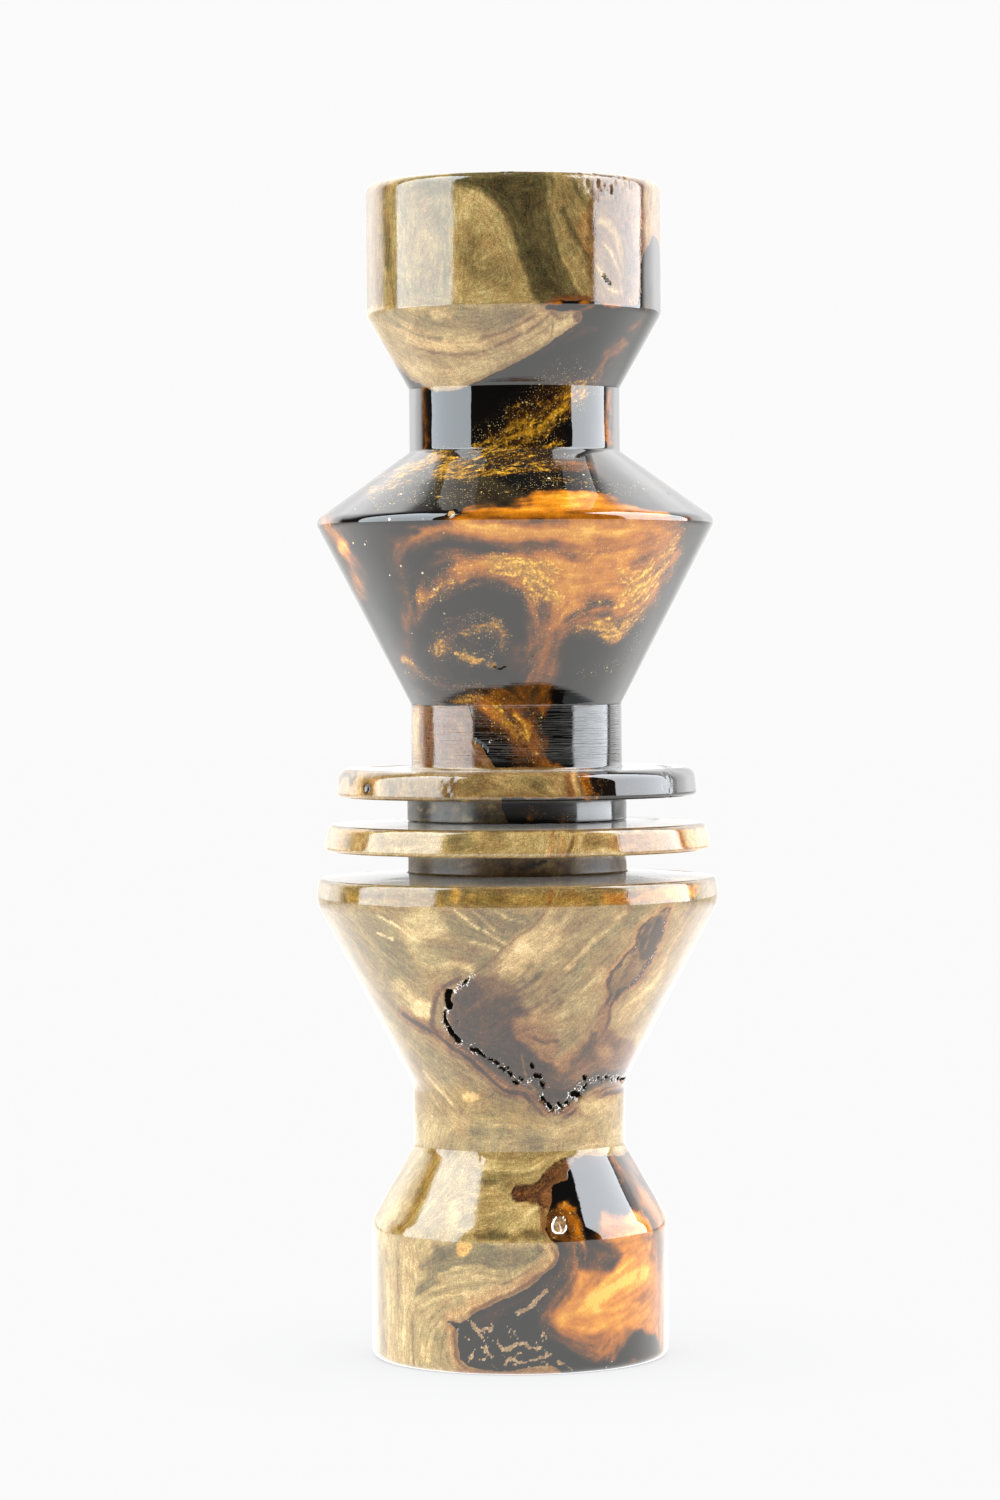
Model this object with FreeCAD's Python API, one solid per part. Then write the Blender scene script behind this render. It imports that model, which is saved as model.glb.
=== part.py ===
import FreeCAD, Part
import math
import os
from FreeCAD import Vector

# Duck call, millimetres: a turned barrel and insert, joined by a toneboard rod
# that carries two reeds, a wedge and four O-rings.
# +Z runs along the bore from the exhaust face (z = 0) to the mouth end.
# The flat of the toneboard, its reeds and its wedge face -Y.

# ---- shared by both halves ----
TOTAL_LENGTH = 110.9
JOINT_Z = 50.6               # top of the insert, where the barrel seats
JOINT_GAP = 0.02
NECK_R = 10.0                # the three narrow necks
BORE_R = 7.94                # bore of both halves
BORE_CHAMFER = 0.5           # at the joint

# ---- barrel (mouth half) ----
BARREL_BOTTOM_Z = JOINT_Z + JOINT_GAP
MOUTH_R = 14.0
MOUTH_CYL_Z = 98.4           # lower corner of the mouth cylinder
MOUTH_LIP = 1.6              # width of the flared bore entry
MOUTH_LIP_DEPTH = 2.4
UPPER_NECK_TOP_Z = 91.4
UPPER_NECK_BOTTOM_Z = 85.5
BULGE_R = 19.1               # widest ring of the barrel
BULGE_Z = 79.0
MID_NECK_TOP_Z = 61.6
BARREL_DISC_TOP_R = 16.85
BARREL_DISC_TOP_Z = 55.6     # also the bottom of the middle neck
BARREL_DISC_BOTTOM_R = 17.1
BARREL_DISC_BOTTOM_Z = 52.9
UPPER_GROOVE_R = 10.4        # floor of the upper lanyard groove

# ---- insert (exhaust half) ----
INSERT_DISC_TOP_R = 17.8
INSERT_DISC_TOP_Z = 50.3
INSERT_DISC_BOTTOM_R = 18.4
INSERT_DISC_BOTTOM_Z = 47.8
LOWER_GROOVE_R = 10.35       # floor of the lower lanyard groove
BODY_TOP_Z = 45.7            # at the groove floor
BODY_RIM_R = 18.8
BODY_RIM_Z = 45.2
BODY_BAND_R = 19.1           # soft corner under the rim band
BODY_BAND_Z = 43.0
LOWER_NECK_TOP_Z = 25.7
LOWER_NECK_BOTTOM_Z = 19.8
BASE_R = 14.0
BASE_CYL_Z = 12.8            # upper corner of the base cylinder
SOCKET_Z = 26.0              # shoulder at the bottom of the socket
THROAT_R = 4.5               # exhaust throat under the shoulder
OUTLET_R = 7.0               # straight outlet at the exhaust face
OUTLET_LENGTH = 8.0
OUTLET_CHAMFER = 0.5

# ---- toneboard ----
ROD_R = BORE_R - 0.07
ROD_BOTTOM_Z = SOCKET_Z + 0.05
ROD_TOP_Z = 95.2
ROD_TIP_ROUND = 2.2
CHANNEL_R = 3.2              # tone channel
CHANNEL_Y = 0.9
CHANNEL_END_Z = 88.0         # centre of the channel's ball end
FLAT_Y = -0.6                # plane the reeds lie on
NOTCH_Z0 = 62.6              # back wall of the wedge notch
NOTCH_Z1 = 70.0              # edge of the overhang
ROOF_Y0 = -4.0               # notch roof at the back wall
ROOF_Y1 = -4.6               # notch roof at the overhang's edge
RAMP_Z = 74.0                # where the board begins to fall away
RAMP_DROP = 1.32             # fall of the board at the tip
CUT_REACH = 9.0              # cutters run this far from the axis, clear of the rod
NOTCH_OVERRUN = 0.5          # notch cutter past the overhang's edge
CHANNEL_OVERRUN = 2.0        # channel cutter below the rod
TIP_OVERRUN = 1.0            # ramp cutter above the rod

# ---- O-rings ----
RING_Z = {                   # piece name: centre height
    "insert_o_ring_lower": 33.5,
    "insert_o_ring_upper": 43.5,
    "barrel_o_ring_lower": 54.2,
    "barrel_o_ring_upper": 59.2,
}
RING_GROOVE_R = 6.30         # groove floor
RING_GROOVE_W = 2.30
RING_W = 1.90
RING_GAP = 0.01              # to the groove floor and to the bore
RING_INNER_R = RING_GROOVE_R + RING_GAP
RING_OUTER_R = BORE_R - RING_GAP
RING_CORNER_R = 0.72

# ---- reeds ----
REED_W = 12.7
REED_TAIL_Z = NOTCH_Z0 + 0.3
REED_TAIL_CORNER_R = 0.3
REED_TIP_TRIM = 2.6          # 45 degree cut at each tip corner
REED_TIP_CORNER_R = 1.6
LONG_REED_TIP_Z = 94.3
LONG_REED_T = 0.25
SHORT_REED_TIP_Z = 89.6
SHORT_REED_T = 0.35
DIMPLE_R = 2.4               # spherical dimple in the short reed
DIMPLE_DEPTH = 0.2
DIMPLE_FROM_TIP = 5.5

# The stack grows towards -Y: flat, long reed, short reed, wedge.
SHEET_GAP = 0.01
LONG_REED_Y = FLAT_Y - SHEET_GAP
SHORT_REED_Y = LONG_REED_Y - LONG_REED_T - SHEET_GAP
REED_STACK_Y = SHORT_REED_Y - SHORT_REED_T
WEDGE_BASE_Y = REED_STACK_Y - SHEET_GAP

# ---- wedge ----
WEDGE_W = 10.6
WEDGE_Z0 = NOTCH_Z0 + 0.5
WEDGE_Z1 = 73.6
WEDGE_ROOF_GAP = 0.02
WEDGE_NOSE_LENGTH = 1.0      # bevel at the +Z end, along Z
WEDGE_NOSE_DEPTH = 1.2       # the same bevel, along Y
WEDGE_FILLET_R = 0.5


# ---- helpers ----
def rounded_wire(points):
    """Closed wire in the XZ plane from (x, z, corner radius) points."""
    corners = [Vector(x, 0, z) for x, z, _ in points]
    count = len(points)
    runs = []  # (start, arc middle or None, end) of each corner
    for i in range(count):
        corner = corners[i]
        radius = points[i][2]
        if radius <= 0:
            runs.append((corner, None, corner))
            continue
        to_previous = (corners[i - 1] - corner).normalize()
        to_next = (corners[(i + 1) % count] - corner).normalize()
        half_angle = to_previous.getAngle(to_next) / 2.0
        setback = radius / math.tan(half_angle)
        bisector = (to_previous + to_next).normalize()
        centre = corner + bisector * (radius / math.sin(half_angle))
        runs.append((
            corner + to_previous * setback,
            centre - bisector * radius,
            corner + to_next * setback,
        ))
    edges = []
    for i in range(count):
        start, middle, end = runs[i]
        if middle is not None:
            edges.append(Part.Arc(start, middle, end).toShape())
        next_start = runs[(i + 1) % count][0]
        if (next_start - end).Length > 1e-7:  # neighbouring arcs may already touch
            edges.append(Part.LineSegment(end, next_start).toShape())
    return Part.Wire(Part.__sortEdges__(edges))


def turned(points):
    """Solid of revolution about Z from (radius, z, corner radius) points."""
    face = Part.Face(rounded_wire(points))
    return face.revolve(Vector(0, 0, 0), Vector(0, 0, 1), 360)


def side_slab(points, half_width):
    """Prism along X, centred on the axis, from (y, z) points."""
    corners = [Vector(-half_width, y, z) for y, z in points]
    wire = Part.makePolygon(corners + [corners[0]])
    return Part.Face(wire).extrude(Vector(2 * half_width, 0, 0))


def notch_roof_y(z):
    """Y of the sloping notch roof, extended beyond the notch where needed."""
    return ROOF_Y0 + (ROOF_Y1 - ROOF_Y0) / (NOTCH_Z1 - NOTCH_Z0) * (z - NOTCH_Z0)


# ---- barrel ----
def make_barrel():
    # radius, z, corner radius: up the outside, then down the bore
    return turned([
        (BORE_R + BORE_CHAMFER, BARREL_BOTTOM_Z, 0),
        (UPPER_GROOVE_R, BARREL_BOTTOM_Z, 0.12),
        (UPPER_GROOVE_R, BARREL_DISC_BOTTOM_Z, 0.25),
        (BARREL_DISC_BOTTOM_R, BARREL_DISC_BOTTOM_Z, 0.4),
        (BARREL_DISC_TOP_R, BARREL_DISC_TOP_Z, 1.1),
        (NECK_R, BARREL_DISC_TOP_Z, 0.25),
        (NECK_R, MID_NECK_TOP_Z, 0.3),
        (BULGE_R, BULGE_Z, 0.9),
        (NECK_R, UPPER_NECK_BOTTOM_Z, 0.3),
        (NECK_R, UPPER_NECK_TOP_Z, 0.3),
        (MOUTH_R, MOUTH_CYL_Z, 1.5),
        (MOUTH_R, TOTAL_LENGTH, 1.0),
        (BORE_R + MOUTH_LIP, TOTAL_LENGTH, 0.6),
        (BORE_R, TOTAL_LENGTH - MOUTH_LIP_DEPTH, 0.8),
        (BORE_R, BARREL_BOTTOM_Z + BORE_CHAMFER, 0),
    ])


# ---- insert ----
def make_insert_body():
    # radius, z, corner radius: up the outside, then down the bore
    return turned([
        (OUTLET_R + OUTLET_CHAMFER, 0, 0),
        (BASE_R, 0, 0.8),
        (BASE_R, BASE_CYL_Z, 2.8),
        (NECK_R, LOWER_NECK_BOTTOM_Z, 0.3),
        (NECK_R, LOWER_NECK_TOP_Z, 0.3),
        (BODY_BAND_R, BODY_BAND_Z, 2.0),
        (BODY_RIM_R, BODY_RIM_Z, 0.4),
        (LOWER_GROOVE_R, BODY_TOP_Z, 0.25),
        (LOWER_GROOVE_R, INSERT_DISC_BOTTOM_Z, 0.25),
        (INSERT_DISC_BOTTOM_R, INSERT_DISC_BOTTOM_Z, 0.4),
        (INSERT_DISC_TOP_R, INSERT_DISC_TOP_Z, 0.6),
        (UPPER_GROOVE_R, JOINT_Z, 0),
        (BORE_R + BORE_CHAMFER, JOINT_Z, 0),
        (BORE_R, JOINT_Z - BORE_CHAMFER, 0),
        (BORE_R, SOCKET_Z, 0.15),
        (THROAT_R, SOCKET_Z, 0.3),
        (OUTLET_R, OUTLET_LENGTH, 0.6),
        (OUTLET_R, OUTLET_CHAMFER, 0),
    ])


# ---- toneboard ----
def make_grooved_rod():
    half = RING_GROOVE_W / 2.0
    outline = [(0, ROD_BOTTOM_Z, 0), (ROD_R, ROD_BOTTOM_Z, 0.6)]
    for z in RING_Z.values():
        outline += [
            (ROD_R, z - half, 0.1),
            (RING_GROOVE_R, z - half, 0.2),
            (RING_GROOVE_R, z + half, 0.2),
            (ROD_R, z + half, 0.1),
        ]
    outline += [(ROD_R, ROD_TOP_Z, ROD_TIP_ROUND), (0, ROD_TOP_Z, 0)]
    return turned(outline)


def make_channel_cutter():
    """Round tone channel with a ball end."""
    start_z = ROD_BOTTOM_Z - CHANNEL_OVERRUN
    bore = Part.makeCylinder(CHANNEL_R, CHANNEL_END_Z - start_z, Vector(0, CHANNEL_Y, start_z))
    ball = Part.makeSphere(CHANNEL_R, Vector(0, CHANNEL_Y, CHANNEL_END_Z))
    return bore.fuse(ball)


def make_flat_cutter():
    """Opens the -Y side: the flat and, from RAMP_Z, a long arc down to the tip."""
    reach = ROD_TOP_Z + TIP_OVERRUN - RAMP_Z
    drop = RAMP_DROP * (reach / (ROD_TOP_Z - RAMP_Z)) ** 2
    radius = (reach ** 2 + drop ** 2) / (2 * drop)  # arc tangent to the flat
    half_angle = math.asin(reach / radius) / 2.0

    def point(y, z):
        return Vector(-CUT_REACH, y, z)

    flat_start = point(FLAT_Y, NOTCH_Z1)
    ramp_start = point(FLAT_Y, RAMP_Z)
    ramp_middle = point(
        FLAT_Y + radius - radius * math.cos(half_angle),
        RAMP_Z + radius * math.sin(half_angle),
    )
    ramp_end = point(FLAT_Y + drop, RAMP_Z + reach)
    outer_top = point(-CUT_REACH, RAMP_Z + reach)
    outer_bottom = point(-CUT_REACH, NOTCH_Z1)
    edges = [
        Part.LineSegment(flat_start, ramp_start).toShape(),
        Part.Arc(ramp_start, ramp_middle, ramp_end).toShape(),
        Part.LineSegment(ramp_end, outer_top).toShape(),
        Part.LineSegment(outer_top, outer_bottom).toShape(),
        Part.LineSegment(outer_bottom, flat_start).toShape(),
    ]
    return Part.Face(Part.Wire(edges)).extrude(Vector(2 * CUT_REACH, 0, 0))


def make_notch_cutter():
    """Wedge notch between the flat and the overhang."""
    end_z = NOTCH_Z1 + NOTCH_OVERRUN
    return side_slab(
        [
            (FLAT_Y, NOTCH_Z0),
            (FLAT_Y, end_z),
            (notch_roof_y(end_z), end_z),
            (ROOF_Y0, NOTCH_Z0),
        ],
        CUT_REACH,
    )


def make_toneboard():
    board = make_grooved_rod()
    for cutter in (make_channel_cutter(), make_flat_cutter(), make_notch_cutter()):
        board = board.cut(cutter)
    return board


# ---- reeds ----
def reed_sheet(tip_z, thickness, face_y):
    """Flat strip with a square tail and a trimmed tip; face_y is its board side."""
    half = REED_W / 2.0
    tip_half = half - REED_TIP_TRIM
    side_z = tip_z - REED_TIP_TRIM
    outline = [
        (-half, REED_TAIL_Z, REED_TAIL_CORNER_R),
        (half, REED_TAIL_Z, REED_TAIL_CORNER_R),
        (half, side_z, REED_TIP_CORNER_R),
        (tip_half, tip_z, REED_TIP_CORNER_R),
        (-tip_half, tip_z, REED_TIP_CORNER_R),
        (-half, side_z, REED_TIP_CORNER_R),
    ]
    sheet = Part.Face(rounded_wire(outline)).extrude(Vector(0, -thickness, 0))
    sheet.translate(Vector(0, face_y, 0))
    return sheet


def make_reed_long():
    return reed_sheet(LONG_REED_TIP_Z, LONG_REED_T, LONG_REED_Y)


def make_reed_short():
    sheet = reed_sheet(SHORT_REED_TIP_Z, SHORT_REED_T, SHORT_REED_Y)
    dimple_y = REED_STACK_Y + DIMPLE_DEPTH - DIMPLE_R
    dimple_z = SHORT_REED_TIP_Z - DIMPLE_FROM_TIP
    return sheet.cut(Part.makeSphere(DIMPLE_R, Vector(0, dimple_y, dimple_z)))


# ---- wedge ----
def make_wedge():
    def top_y(z):
        return notch_roof_y(z) + WEDGE_ROOF_GAP

    nose_z = WEDGE_Z1 - WEDGE_NOSE_LENGTH
    block = side_slab(
        [
            (WEDGE_BASE_Y, WEDGE_Z0),
            (WEDGE_BASE_Y, WEDGE_Z1),
            (top_y(WEDGE_Z1) + WEDGE_NOSE_DEPTH, WEDGE_Z1),
            (top_y(nose_z), nose_z),
            (top_y(WEDGE_Z0), WEDGE_Z0),
        ],
        WEDGE_W / 2.0,
    )
    # the two long edges of the sloping face on the -Y side
    long_edges = [
        edge for edge in block.Edges
        if abs(edge.Vertexes[0].X - edge.Vertexes[-1].X) < 1e-6
        and edge.BoundBox.YMin < -3.5
        and edge.Length > 5
    ]
    return block.makeFillet(WEDGE_FILLET_R, long_edges)


# ---- O-rings ----
def make_ring(z):
    half = RING_W / 2.0
    return turned([
        (RING_INNER_R, z - half, RING_CORNER_R),
        (RING_OUTER_R, z - half, RING_CORNER_R),
        (RING_OUTER_R, z + half, RING_CORNER_R),
        (RING_INNER_R, z + half, RING_CORNER_R),
    ])


# ---- export ----
pieces = {
    "barrel": make_barrel(),
    "insert_body": make_insert_body(),
    "toneboard": make_toneboard(),
    "reed_long": make_reed_long(),
    "reed_short": make_reed_short(),
    "reed_wedge": make_wedge(),
}
for name, z in RING_Z.items():
    pieces[name] = make_ring(z)

os.makedirs("parts", exist_ok=True)
for name, shape in pieces.items():
    # booleans return compounds, so a lone solid is unwrapped
    solids = shape.Solids
    piece = solids[0] if len(solids) == 1 else Part.Compound(solids)
    piece.exportStep(os.path.join("parts", name + ".step"))
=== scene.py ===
import math
import random

import bpy
import numpy as np
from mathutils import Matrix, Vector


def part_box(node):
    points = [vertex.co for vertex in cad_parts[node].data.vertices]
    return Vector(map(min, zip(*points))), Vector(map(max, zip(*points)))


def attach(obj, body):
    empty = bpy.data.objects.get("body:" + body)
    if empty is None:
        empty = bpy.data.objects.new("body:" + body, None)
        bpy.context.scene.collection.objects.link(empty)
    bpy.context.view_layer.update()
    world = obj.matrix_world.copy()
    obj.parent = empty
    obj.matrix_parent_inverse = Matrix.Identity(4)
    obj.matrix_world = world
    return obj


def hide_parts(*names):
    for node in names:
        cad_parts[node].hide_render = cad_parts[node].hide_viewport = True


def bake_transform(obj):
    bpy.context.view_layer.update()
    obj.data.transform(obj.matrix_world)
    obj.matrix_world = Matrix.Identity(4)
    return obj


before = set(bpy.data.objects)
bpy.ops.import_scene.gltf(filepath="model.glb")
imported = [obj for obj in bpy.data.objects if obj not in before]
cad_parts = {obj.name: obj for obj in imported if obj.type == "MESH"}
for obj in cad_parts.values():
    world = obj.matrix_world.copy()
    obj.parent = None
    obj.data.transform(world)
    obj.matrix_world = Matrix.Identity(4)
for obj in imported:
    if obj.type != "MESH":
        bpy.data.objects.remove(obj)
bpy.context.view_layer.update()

MM = 0.001
RNG_SEED = 7

# ======================================================================================
# small numpy noise
# ======================================================================================


def _lattice(ix, iy, iz, seed):
    h = (
        ix.astype(np.uint32) * np.uint32(374761393)
        + iy.astype(np.uint32) * np.uint32(668265263)
        + iz.astype(np.uint32) * np.uint32(2246822519)
        + np.uint32((seed * 3266489917) & 0xFFFFFFFF)
    )
    h = (h ^ (h >> np.uint32(15))) * np.uint32(2246822519)
    h = (h ^ (h >> np.uint32(13))) * np.uint32(3266489917)
    h = h ^ (h >> np.uint32(16))
    return h.astype(np.float64) / 4294967295.0 * 2.0 - 1.0


def noise3(p, seed=0):
    """Smooth value noise, about -1 to 1."""
    f = np.floor(p)
    t = p - f
    t = t * t * t * (t * (t * 6 - 15) + 10)
    i = f.astype(np.int64)
    out = 0.0
    for dx in (0, 1):
        wx = t[:, 0] if dx else 1 - t[:, 0]
        for dy in (0, 1):
            wy = t[:, 1] if dy else 1 - t[:, 1]
            for dz in (0, 1):
                wz = t[:, 2] if dz else 1 - t[:, 2]
                out = out + wx * wy * wz * _lattice(
                    i[:, 0] + dx, i[:, 1] + dy, i[:, 2] + dz, seed
                )
    return out


def fbm(p, octaves=4, seed=0, gain=0.5):
    total, amp, norm = 0.0, 1.0, 0.0
    q = p.copy()
    for k in range(octaves):
        total = total + amp * noise3(q, seed + 17 * k)
        norm += amp
        amp *= gain
        q = q * 2.03 + 11.7
    return total / norm


def smooth(a, b, x):
    t = np.clip((x - a) / (b - a), 0.0, 1.0)
    return t * t * (3 - 2 * t)


# ======================================================================================
# turned profiles, the same numbers as the CAD, in millimetres (the two
# corners of the lowest neck are a little softer)
# ======================================================================================

BARREL = [
    (8.44, 50.62, 0),
    (10.4, 50.62, 0.12),
    (10.4, 52.9, 0.25),
    (17.1, 52.9, 0.4),
    (16.85, 55.6, 1.1),
    (10.0, 55.6, 0.25),
    (10.0, 61.6, 0.3),
    (19.1, 79.0, 0.9),
    (10.0, 85.5, 0.3),
    (10.0, 91.4, 0.3),
    (14.0, 98.4, 1.5),
    (14.0, 110.9, 1.0),
    (9.54, 110.9, 0.6),
    (7.94, 108.5, 0.8),
    (7.94, 51.12, 0),
]

INSERT = [
    (7.5, 0, 0),
    (14.0, 0, 0.8),
    (14.0, 12.8, 2.8),
    (10.0, 19.8, 1.4),
    (10.0, 25.7, 2.6),
    (19.1, 43.0, 2.0),
    (18.8, 45.2, 0.4),
    (10.35, 45.7, 0.25),
    (10.35, 47.8, 0.25),
    (18.4, 47.8, 0.4),
    (17.8, 50.3, 0.6),
    (10.4, 50.6, 0),
    (8.44, 50.6, 0),
    (7.94, 50.1, 0),
    (7.94, 26.0, 0.15),
    (4.5, 26.0, 0.3),
    (7.0, 8.0, 0.6),
    (7.0, 0.5, 0),
]


def profile_points(outline, first_fine, last_fine, step_fine, step_coarse):
    """Closed profile as points (r, z, is_fine), corners rounded, long runs split."""
    n = len(outline)
    runs = []
    for i in range(n):
        p = np.array(outline[i - 1][:2], float)
        q = np.array(outline[i][:2], float)
        s = np.array(outline[(i + 1) % n][:2], float)
        radius = outline[i][2]
        if radius <= 0:
            runs.append([q])
            continue
        u = (p - q) / np.linalg.norm(p - q)
        v = (s - q) / np.linalg.norm(s - q)
        half = math.acos(max(-1, min(1, float(u @ v)))) / 2
        back = radius / math.tan(half)
        a, b = q + u * back, q + v * back
        bis = (u + v) / np.linalg.norm(u + v)
        c = q + bis * (radius / math.sin(half))
        a0 = math.atan2(*(a - c)[::-1])
        a1 = math.atan2(*(b - c)[::-1])
        d = (a1 - a0 + math.pi) % (2 * math.pi) - math.pi
        k = max(3, int(math.ceil(abs(d) * radius / 0.16)), int(math.ceil(abs(d) / 0.28)))
        k = min(k, 12)
        runs.append(
            [
                c + radius * np.array([math.cos(a0 + d * t / k), math.sin(a0 + d * t / k)])
                for t in range(k + 1)
            ]
        )
    pts = []
    for i in range(n):
        fine = first_fine <= i <= last_fine
        pts += [(q[0], q[1], fine) for q in runs[i]]
        a, b = runs[i][-1], runs[(i + 1) % n][0]
        fine_run = fine and (i + 1) % n <= last_fine and (i + 1) % n != 0
        step = step_fine if fine_run else step_coarse
        k = max(1, int(round(np.linalg.norm(b - a) / step)))
        for t in range(1, k):
            q = a + (b - a) * t / k
            pts.append((q[0], q[1], fine_run))
    return np.array([(a, b) for a, b, _ in pts]), np.array([f for _, _, f in pts])


def column_angles(n_front, n_back):
    """Angles round the axis, 0 facing -Y, closely spaced over the front."""
    front = np.linspace(-95, 95, n_front, endpoint=False)
    back = np.linspace(95, 265, n_back, endpoint=False)
    return np.radians(np.concatenate([front, back]))


# ======================================================================================
# front-view grid: one unit is 0.0948 mm on the plane through the axis, x right, y down
# ======================================================================================

UNIT = 0.0948
EYE_Z = 68.6
EYE_DIST = 464.5
EYE_X = -1.5
FOCAL = EYE_DIST / UNIT
ROLL = math.radians(0.385)


def front_view(p):
    depth = p[:, 1] + EYE_DIST
    u = FOCAL * (p[:, 0] - EYE_X) / depth
    v = FOCAL * (p[:, 2] - EYE_Z) / depth
    c, s = math.cos(ROLL), math.sin(ROLL)
    return 500 + u * c - v * s, 630 - (u * s + v * c)


class Canvas:
    """Values held on the surface, changed by soft strokes and patches drawn on the front-view grid."""

    def __init__(self, u, v, jit, soften=1.0, follow=False):
        self.u, self.v = u, v
        self.jit = jit
        self.soften = soften
        self.ch = {}
        # direction of the figure, held as a doubled angle so that opposite ways agree
        self.c2 = np.full(u.shape, 0.02 * math.cos(math.radians(-60))) if follow else None
        self.s2 = np.full(u.shape, 0.02 * math.sin(math.radians(-60))) if follow else None

    def new(self, name, value):
        self.ch[name] = np.full(self.u.shape, float(value))

    def _near(self, pts, pad):
        x0, y0 = pts.min(0) - pad
        x1, y1 = pts.max(0) + pad
        return np.nonzero(
            (self.u > x0) & (self.u < x1) & (self.v > y0) & (self.v < y1)
        )[0]

    @staticmethod
    def _dist(px, py, pts, closed, way=False):
        best = np.full(px.shape, 1e9)
        n = len(pts)
        inside = np.zeros(px.shape, bool)
        ang = np.zeros(px.shape) if way else None
        for i in range(n if closed else n - 1):
            ax, ay = pts[i]
            bx, by = pts[(i + 1) % n]
            dx, dy = bx - ax, by - ay
            ll = dx * dx + dy * dy + 1e-12
            t = np.clip(((px - ax) * dx + (py - ay) * dy) / ll, 0, 1)
            d = np.hypot(px - ax - t * dx, py - ay - t * dy)
            if way:
                ang = np.where(d < best, math.atan2(dy, dx), ang)
            np.minimum(best, d, out=best)
            if closed:
                cross = (ay > py) != (by > py)
                with np.errstate(divide="ignore", invalid="ignore"):
                    xi = ax + (py - ay) * dx / (dy if dy != 0 else 1e-12)
                inside ^= cross & (px < xi)
        if way:
            return best, inside, ang
        return best, inside

    def _follow(self, pts, closed, reach, weight):
        idx = self._near(pts, reach * 2.2)
        if not len(idx):
            return
        d, _, ang = self._dist(self.u[idx], self.v[idx], pts, closed, way=True)
        w = weight * np.exp(-((d / reach) ** 2))
        self.c2[idx] += w * np.cos(2 * ang)
        self.s2[idx] += w * np.sin(2 * ang)

    def line(self, grid, pts, width, soft, jit=1.0, **values):
        """A curved stroke; width and soft are in the grid's own units."""
        pts = curve(grid, pts)
        w, s = width / grid[2] / 2, max(soft / grid[2], 0.6) * self.soften
        if self.c2 is not None:
            self._follow(pts, False, w + 11, 1.0)
        if not any(k in self.ch for k in values):
            return
        idx = self._near(pts, w + s + 6)
        if not len(idx):
            return
        d, _ = self._dist(self.u[idx], self.v[idx], pts, False)
        d = d + self.jit[idx] * jit * min(1.0, 0.25 + s * 0.12) * 2.2
        k = 1 - smooth(w - s * 0.5, w + s * 0.5, d)
        self._apply(idx, k, values)

    def patch(self, grid, pts, soft, jit=1.0, rounded=True, **values):
        """A filled shape with soft edges."""
        pts = curve(grid, pts, closed=True) if rounded else place(grid, pts)
        s = max(soft / grid[2], 0.6) * self.soften
        if self.c2 is not None and rounded:
            self._follow(pts, True, 10.0, 0.35)
        if not any(k in self.ch for k in values):
            return
        idx = self._near(pts, s + 8)
        if not len(idx):
            return
        d, inside = self._dist(self.u[idx], self.v[idx], pts, True)
        d = np.where(inside, -d, d) + self.jit[idx] * jit * min(1.0, 0.25 + s * 0.12) * 2.5
        k = 1 - smooth(-s * 0.5, s * 0.5, d)
        self._apply(idx, k, dict(values))

    def spot(self, grid, x, y, rx, ry, soft, angle=0.0, jit=1.0, **values):
        a = np.radians(np.arange(0, 360, 20))
        ca, sa = math.cos(math.radians(angle)), math.sin(math.radians(angle))
        ex, ey = np.cos(a) * rx, np.sin(a) * ry
        pts = [(x + p * ca - q * sa, y + p * sa + q * ca) for p, q in zip(ex, ey)]
        self.patch(grid, pts, soft, jit, rounded=False, **values)

    def _apply(self, idx, k, values):
        o = values.pop("o", 1.0)
        for name, value in values.items():
            if name not in self.ch:
                continue
            c = self.ch[name]
            if name in ("pit", "spark", "line"):
                c[idx] = np.maximum(c[idx], k * o * value)
            else:
                c[idx] += (value - c[idx]) * k * o


def place(grid, pts):
    x0, y0, s = grid
    return np.array([(x0 + x / s, y0 + y / s) for x, y in pts], float)


def curve(grid, pts, closed=False):
    """Catmull-Rom through the control points."""
    p = place(grid, pts)
    n = len(p)
    if n < 3:
        return p
    out = []
    for i in range(n if closed else n - 1):
        a = p[(i - 1) % n] if closed or i > 0 else p[i]
        b, c = p[i], p[(i + 1) % n]
        d = p[(i + 2) % n] if closed or i + 2 < n else c
        for t in (0.0, 0.25, 0.5, 0.75):
            out.append(
                0.5
                * (
                    2 * b
                    + (c - a) * t
                    + (2 * a - 5 * b + 4 * c - d) * t * t
                    + (3 * b - a - 3 * c + d) * t ** 3
                )
            )
    if not closed:
        out.append(p[-1])
    return np.array(out)


# drawing grids: each is (left, top, scale) of an enlarged part of the front view
G1 = (355, 160, 4.9)       # mouth cylinder and its cone
G2 = (310, 440, 3.824)     # bulge
G3 = (310, 690, 3.733)     # lower neck, discs and grooves
G4 = (310, 870, 3.733)     # insert body
G5 = (365, 1120, 4.978)    # lower neck, flare and base
G0 = (0, 0, 1.0)


def on(grid, pts):
    return [tuple(q) for q in place(grid, pts)]


# resin areas; everything else is wood
RESIN_TOP = (
    on(G1, [(1700, 200), (1520, 285), (1475, 340), (1440, 410), (1420, 440), (1406, 480),
            (1400, 600), (1392, 716), (1300, 708), (1200, 700), (1120, 688), (1060, 682),
            (1000, 690), (960, 700), (922, 716), (930, 735), (1000, 742), (1060, 733),
            (1108, 742), (1120, 768), (1104, 795), (1080, 812), (1030, 842), (975, 880),
            (900, 932), (800, 988), (700, 1038), (640, 1072), (560, 1108), (470, 1130),
            (400, 1132), (340, 1110), (280, 1078), (230, 1040), (170, 985), (90, 905), (-300, 900)])
    + [(240, 400), (240, 704)]
    + on(G3, [(380, 58), (590, 60), (600, 80), (606, 110), (612, 150), (620, 195), (640, 213),
              (656, 240), (674, 262), (694, 286)])
    + [(496, 767.5), (760, 767.5), (760, 300)]
)
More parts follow.
